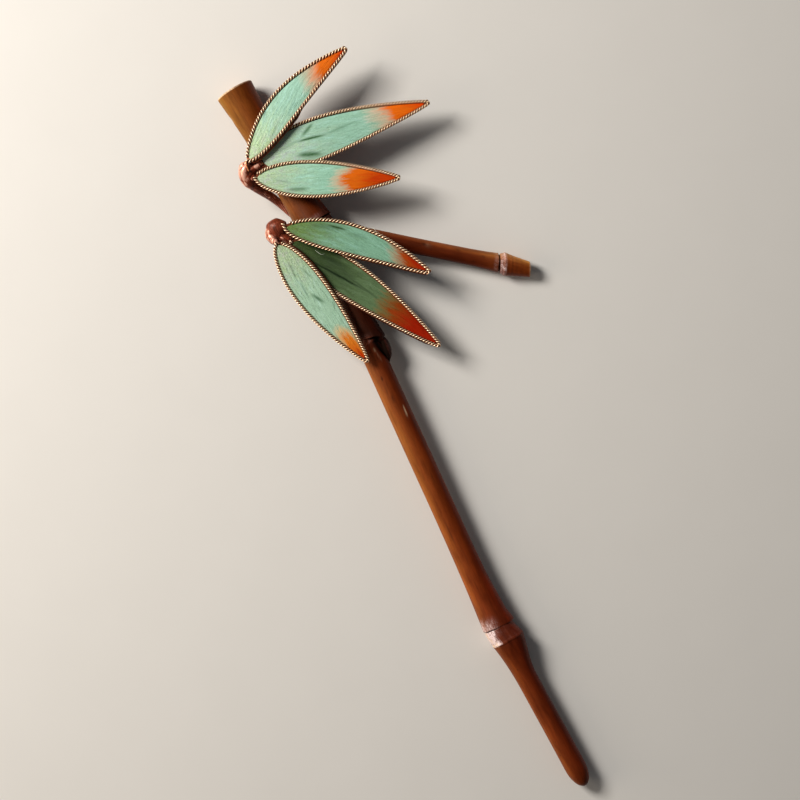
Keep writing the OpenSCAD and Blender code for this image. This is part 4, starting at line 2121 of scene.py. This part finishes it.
INTERNODES = (
    Internode(Vector((0, 0, 4.5)), Vector((35.3, 4.0, 4.8)), 4.5, 0, 3.8, 3.8, 11, 1.2, 4.45, 8),
    Internode(Vector((35.3, 4.0, 4.8)), Vector((65.5, 4.5, 4.6)), 4.40, 2.0, 3.35, 3.1, 9, 3, 3.55, 7),
    Internode(Vector((65.5, 3.9, 4.6)), Vector((137.2, 3.85, 3.445)), 3.05, 1.2, 2.7, 2.8, 6, 3, 3.4, 24),
    Internode(Vector((137.2, 4.2, 3.445)), Vector((179, 7.2, 3.0)), 3.4, 3.9, 2.45, 2.45, 12, 2.2, 0, 5),
)

CULM_MARKS = (
    Blemish(5.6, 178, 1.6, 1.6, 0.10, wear=0.9),
    Blemish(74.5, 101, 0.7, 0.45, 0.07, soot=0.8),
    Blemish(79.8, 93, 0.8, 0.5, 0.08, soot=0.9),
    Blemish(83.5, 61, 2.4, 0.3, 0.05, wear=0.7, lean=0.05),
    Blemish(68.4, 75, 0.9, 0.5, 0.10, wear=0.26),
    Blemish(69.9, 68, 1.9, 0.22, 0.08, wear=0.26, lean=-0.12),
    Blemish(70.4, 78, 1.6, 0.25, 0.06, soot=0.6, lean=-0.1),
    Blemish(77.0, 104, 3.4, 0.22, 0.03, soot=0.45, lean=0.05),
    Blemish(76.2, 92, 2.6, 0.18, 0.03, soot=0.4),
    Blemish(100.0, 75, 3.0, 0.2, 0.03, soot=0.3),
    Blemish(113.0, 110, 5.0, 0.25, 0.03, soot=0.35),
    Blemish(120.0, 88, 4.0, 0.3, 0.02, soot=0.3),
    Blemish(96.0, 210, 1.0, 0.5, 0.06, soot=0.6),
    Blemish(118.0, 290, 1.2, 0.6, 0.07, soot=0.6),
    Blemish(50.0, 250, 1.5, 0.7, 0.08, soot=0.5),
    Blemish(22.0, 300, 2.0, 0.5, 0.05, wear=0.5),
    # A deep dent blackened beside the bud: painted shade in the slit between bud and stick.
    Blemish(67.4, 38, 4.6, 3.2, 0.50, soot=1.1, lean=-0.55),
    Blemish(138.3, 165, 1.6, 1.4, 0.14, wear=0.75),
    Blemish(139.6, 150, 1.2, 0.9, 0.10, wear=0.6),
    Blemish(141.0, 158, 0.9, 1.3, 0.18, wear=0.9),
    Blemish(140.9, 133, 1.3, 0.5, 0.10, wear=0.7),
)

BRANCH_MARKS = (
    Blemish(25.0, 70, 1.3, 0.9, -0.13, wear=0.1),
    Blemish(24.1, 66, 0.5, 0.6, 0.05, soot=0.6),
    Blemish(27.8, 64, 1.0, 0.7, -0.10),
    Blemish(28.6, 60, 0.5, 0.4, 0.04, soot=0.5),
    Blemish(31.2, 59, 1.6, 0.9, -0.12),
    Blemish(32.2, 62, 0.6, 0.5, 0.05, soot=0.5),
    Blemish(38.0, 73, 1.0, 0.6, 0.07, soot=0.5),
    Blemish(36.0, 120, 1.2, 0.5, 0.05, soot=0.4),
    Blemish(18.0, 260, 1.4, 0.8, -0.10),
    Blemish(33.0, 230, 1.2, 0.6, 0.06, soot=0.4),
)

STICK_ZONES = (
    (0.00, tint(114, 61, 19)), (0.07, tint(112, 56, 17)), (0.15, tint(108, 51, 17)),
    # From the first node to the second the stain is darkened step by step: painted shadow of sprig B's
    # leaves, which lie over this internode.
    (0.20, tint(84, 36, 14)), (0.24, tint(66, 28, 12)), (0.34, tint(55, 21, 8)),
    (0.362, tint(48, 17, 6)), (0.370, tint(100, 40, 16)), (0.43, tint(118, 55, 21)),
    (0.58, tint(120, 54, 18)), (0.72, tint(118, 48, 16)), (0.785, tint(104, 44, 24)),
    (0.80, tint(100, 38, 12)), (1.00, tint(108, 42, 13)),
)

BUD_ZONES = ((0.36, tint(54, 19, 8)), (0.41, tint(66, 25, 11)))

# Painted light and shade round the branch: lighter on its upper side in view, which faces the key light,
# darker below.
BRANCH_SHADING = (
    (0.05, (0.74, 0.50, 0.34, 1.0)), (0.40, (0.82, 0.66, 0.50, 1.0)), (0.62, (0.94, 0.86, 0.78, 1.0)),
    (0.82, (1.8, 2.4, 2.6, 1.0)), (0.98, (2.9, 5.0, 6.0, 1.0)))

BRANCH_ZONES = (
    (0.00, tint(84, 36, 15)), (0.35, tint(84, 31, 10)), (0.75, tint(98, 41, 14)),
    (0.85, tint(116, 58, 24)), (0.89, tint(136, 70, 32)), (1.00, tint(136, 70, 25)),
)

LEAF_A1 = Leaf(
    "a1", Vector((16.9, -3.7, 11.1)), length=34.4, direction=114.8, pitch=0, roll=-12, half_width=3.5,
    widest=0.41, camber=2.2, droop=0.6, bead=0.79, skirt_right=0.5, seed=11,
    skirt_span=(0.05, 0.42), overrun=0.65,
    finish=FeatherFinish(
        (0.69, 0.715, 0.76), 13.0, root=tint(180, 201, 162), middle=tint(148, 188, 168),
        pale=tint(196, 148, 116), first=tint(206, 98, 10), deep=tint(184, 54, 0), band=0.12, fingers=0.08),
    smears=(Smear(9, -1.6, 4, 0.25, 10, 0.3), Smear(16, -1.6, 5, 0.2, 12, 0.3)),
    stray=((16.75, -4.1, 11.25), (17.3, -4.4, 11.3), (18.2, -4.55, 11.3), (19.15, -4.55, 11.1)))
LEAF_A2 = Leaf(
    "a2", Vector((18.0, -1.0, 9.7)), length=41.0, direction=85.1, pitch=-1, roll=0, half_width=4.7,
    widest=0.29, camber=0.65, droop=1.0, bead=0.705, skirt_right=0.05, seed=22,
    shy=2.4, bare=1.5, overrun=0.0,
    finish=FeatherFinish(
        (0.735, 0.72, 0.705), -7.0, root=tint(178, 202, 178), middle=tint(147, 190, 167),
        pale=tint(200, 174, 146), first=tint(224, 104, 12), deep=tint(214, 66, 0), band=0.10),
    smears=(Smear(12.4, 0.6, 6.2, 0.28, -7, 1.1), Smear(10.9, -2.75, 5.4, 0.62, -17, 0.95),
            Smear(12.2, 2.7, 3.6, 0.45, 30, 0.8), Smear(19.5, 0.5, 7.0, 0.3, 4, 0.4),
            Smear(7.0, 0.8, 4.0, 0.4, 10, 0.3)))
LEAF_A3 = Leaf(
    "a3", Vector((21.2, -3.8, 11.5)), length=33.0, direction=66.0, pitch=-1, roll=-3, half_width=4.0,
    widest=0.38, camber=-0.25, droop=0.6, bead=0.666, skirt_right=0.05, seed=33,
    finish=FeatherFinish(
        (0.62, 0.57, 0.66), 3.0, root=tint(174, 196, 164), middle=tint(150, 196, 172),
        pale=tint(192, 180, 150), first=tint(214, 100, 12), deep=tint(192, 58, 0), band=0.08, fingers=0.13),
    smears=(Smear(9.6, -2.4, 4.4, 0.45, 4, 0.65), Smear(6.0, -0.6, 4, 0.3, -8, 0.3)))
LEAF_B1 = Leaf(
    "b1", Vector((34.0, -2.4, 11.0)), length=35.0, direction=48.3, pitch=0, roll=-5, half_width=3.45,
    widest=0.39, camber=1.85, droop=0.6, bead=0.79, skirt_right=0.3, seed=44,
    skirt_span=(0.45, 0.95), overrun=1.25, shy=0.8, slot=Slot.DARK_FEATHER,
    finish=FeatherFinish(
        (0.78, 0.745, 0.71), -9.0, root=tint(100, 126, 68), middle=tint(124, 168, 142),
        pale=tint(154, 146, 118), first=tint(160, 74, 18), deep=tint(162, 36, 0), dark=tint(46, 72, 36),
        turn=0.03),
    smears=(Smear(9.5, 1.7, 7.5, 0.9, 4, 0.5), Smear(11.6, 1.9, 4, 0.2, -4, 0.7),
            Smear(16, 1.2, 5, 0.5, 0, 0.3)),
    wisps=(((18.8, 4.0, 0.2), (19.5, 3.75, 0.6), (20.1, 3.4, 0.6), (20.6, 3.6, 0.3)),))
LEAF_B2 = Leaf(
    "b2", Vector((37.6, -2.4, 9.75)), length=41.8, direction=30.6, pitch=-2, roll=-3, half_width=4.05,
    widest=0.34, camber=0.6, droop=0.8, bead=0.66, skirt_right=0.35, seed=55,
    slot=Slot.DARK_FEATHER,
    finish=FeatherFinish(
        (0.625, 0.61, 0.62), 6.0, root=tint(58, 74, 38), middle=tint(92, 116, 80),
        pale=tint(116, 94, 52), first=tint(132, 62, 14), deep=tint(154, 28, 0), dark=tint(22, 38, 18),
        turn=0.05, root_reach=0.62),
    smears=(Smear(13.0, -0.7, 13, 0.22, 5, 0.95), Smear(9, 1.5, 9, 0.8, 3, 0.4),
            Smear(20, 0.2, 7, 0.25, -2, 0.4), Smear(12.0, 0.2, 11, 2.2, 0, 0.4)),
    wisps=(((5.5, 1.3, 0.15), (6.4, 1.17, 0.5), (7.3, 1.22, 0.5), (7.6, 1.8, 0.2)),
           ((15.0, 3.8, 0.3), (15.8, 3.9, 0.6), (16.6, 3.8, 0.6), (16.5, 4.3, 0.4))))
LEAF_B3 = Leaf(
    "b3", Vector((36.8, -5.6, 11.45)), length=34.1, direction=13.2, pitch=-2.5, roll=3, half_width=3.8,
    widest=0.37, camber=-0.5, droop=0.4, bead=0.66, skirt_left=0.4, seed=66,
    finish=FeatherFinish(
        (0.785, 0.72, 0.845), -5.0, root=tint(166, 186, 152), middle=tint(156, 190, 164),
        pale=tint(196, 172, 126), first=tint(212, 118, 30), deep=tint(184, 50, 0), turn=0.09, weave=0.9),
    smears=(Smear(15.4, 0.3, 3.4, 0.4, 20, 0.75), Smear(9.2, 1.7, 3.5, 0.3, 10, 0.45),
            Smear(7.0, -0.6, 4.0, 0.3, -12, 0.4), Smear(12.0, -1.0, 4.0, 0.3, -12, 0.35)))

BINDING_A = Binding(
    "a",
    (((33.6, 1.5, 2.7), 0.95), ((28.2, -1.1, 2.5), 0.95), ((26.0, -2.3, 3.6), 1.0),
     ((24.0, -3.6, 5.4), 1.12), ((22.0, -4.9, 7.6), 1.38), ((20.3, -5.55, 9.1), 1.58),
     ((18.7, -5.4, 9.8), 1.55), ((17.5, -4.9, 10.1), 1.25), ((16.7, -4.4, 10.2), 0.85)),
    (Pedicel(LEAF_A1, (((17.5, -4.3, 10.2), 1.0), ((18.6, -4.9, 9.8), 1.2)), ((0.1, 0.5), (-0.4, 0.75))),
     Pedicel(LEAF_A2, (((18.65, -1.9, 9.7), 0.70), ((18.9, -2.9, 9.85), 0.76), ((19.2, -4.0, 9.8), 0.82),
                       ((19.6, -5.0, 9.5), 0.85)), ((-0.15, 0.52), (-0.5, 0.70)), -0.35),
     Pedicel(LEAF_A3, (((20.6, -4.3, 9.7), 0.75), ((20.2, -5.1, 9.0), 1.1)), ((0.05, 0.4), (-0.6, 0.5)),
             -1.0)),
    0.62,
    crossings=((((17.4, -3.9, 9.6), 0.8), ((18.4, -3.3, 9.2), 1.05), ((19.6, -4.2, 9.1), 1.0)),
               (((17.5, -3.5, 9.2), 0.75), ((17.8, -2.7, 9.1), 0.9), ((18.1, -1.8, 9.0), 0.8)),
               (((18.8, -3.9, 8.8), 0.8), ((19.5, -2.9, 8.8), 1.05), ((20.0, -1.9, 8.8), 0.95)),
               (((19.0, -2.6, 9.0), 0.6), ((19.3, -1.8, 9.0), 0.75), ((19.4, -1.1, 9.0), 0.7),
                ((19.5, -0.5, 8.9), 0.5)),
               (((19.7, -4.1, 8.7), 0.7), ((20.2, -3.6, 8.7), 0.9), ((20.7, -3.2, 8.7), 0.7))),
    painted_sheen=(((17.3, -5.2, 10.9), 1.3), ((18.3, -6.1, 10.6), 1.7), ((19.6, -6.3, 10.5), 1.7),
           ((21.0, -6.8, 9.4), 1.2), ((22.3, -6.5, 8.2), 0.9), ((20.3, -5.8, 10.9), 0.8),
           ((18.6, -2.5, 10.6), 0.8), ((24.6, -3.4, 5.9), 0.5), ((25.6, -2.9, 4.9), 0.5)),
    flat=0.85, ribbon_step=0.10)
BINDING_B = Binding(
    "b",
    (((41.2, 3.0, 4.3), 0.95), ((38.4, -0.85, 4.5), 0.95), ((37.2, -2.2, 5.9), 1.1),
     ((35.9, -3.1, 7.3), 1.5), ((34.7, -3.95, 8.4), 2.1), ((33.4, -4.15, 9.1), 2.48),
     ((32.3, -3.75, 9.3), 2.2), ((31.6, -3.5, 9.4), 1.6), ((31.2, -3.35, 9.4), 1.0)),
    (Pedicel(LEAF_B1, (((33.2, -3.1, 10.0), 0.9), ((33.2, -3.9, 9.4), 1.1))),
     Pedicel(LEAF_B2, (((36.5, -3.1, 9.2), 0.95), ((35.4, -3.7, 9.0), 1.25), ((34.4, -4.3, 8.9), 1.3)),
             ((0.3, 0.5), (-0.3, 0.8))),
     Pedicel(LEAF_B3, (((35.7, -5.9, 10.2), 1.05), ((34.7, -5.95, 9.5), 1.45), ((33.6, -5.5, 9.2), 1.55),
                       ((32.9, -4.9, 9.2), 1.2)))),
    0.50,
    ((((35.5, -4.3, 10.3), 0.16), ((35.8, -4.1, 10.6), 0.2), ((36.3, -3.7, 10.6), 0.2),
      ((36.8, -3.3, 10.3), 0.16)),),
    ((((35.4, -4.4, 9.0), 0.9), ((36.2, -4.6, 8.8), 0.9), ((37.0, -5.1, 8.7), 0.7)),),
    painted_sheen=(((32.9, -6.5, 9.5), 1.2), ((33.8, -6.5, 9.7), 1.3), ((34.8, -6.4, 10.2), 1.2),
           ((35.7, -6.2, 10.9), 1.1), ((36.3, -5.7, 10.8), 0.9), ((36.0, -4.0, 10.7), 0.5)),
    flat=0.80, lumpy=0.35, ribbon_step=0.04)


def main() -> None:
    logging.basicConfig(level=logging.INFO, format="%(name)s: %(message)s", stream=sys.stdout)
    Studio().build()
    stick = BambooFinish("stained_bamboo", 179.0, STICK_ZONES).make()
    bud = BambooFinish("bud_bamboo", 179.0, BUD_ZONES, polish=0.08).make()
    shoot = BambooFinish("branch_bamboo", 48.9, BRANCH_ZONES, sides=BRANCH_SHADING).make()
    Culm(internodes=INTERNODES, blemishes=CULM_MARKS).build(stick, ("culm",))
    SideBranch(root=Vector((36.7, 5.0, 4.75)), end=Vector((65.3, 44.6, 2.305)),
               blemishes=BRANCH_MARKS).build(shoot, ("side_branch",))
    BudScale(Vector((65.6, 6.9, 5.1)), Vector((71.6, 6.5, 4.9)),
             ((0.15, 1.0), (0.4, 1.2), (0.6, 1.16), (0.8, 0.78), (0.93, 0.35))).build(bud)
    plate = PlateFinish().make()
    gilt = GiltFinish().make()
    thread = ThreadFinish().make()
    for leaf in (LEAF_A1, LEAF_A2, LEAF_A3, LEAF_B1, LEAF_B2, LEAF_B3):
        leaf.build(plate, gilt)
    BINDING_A.build(thread)
    BINDING_B.build(thread)


if __name__ == "__main__":
    main()
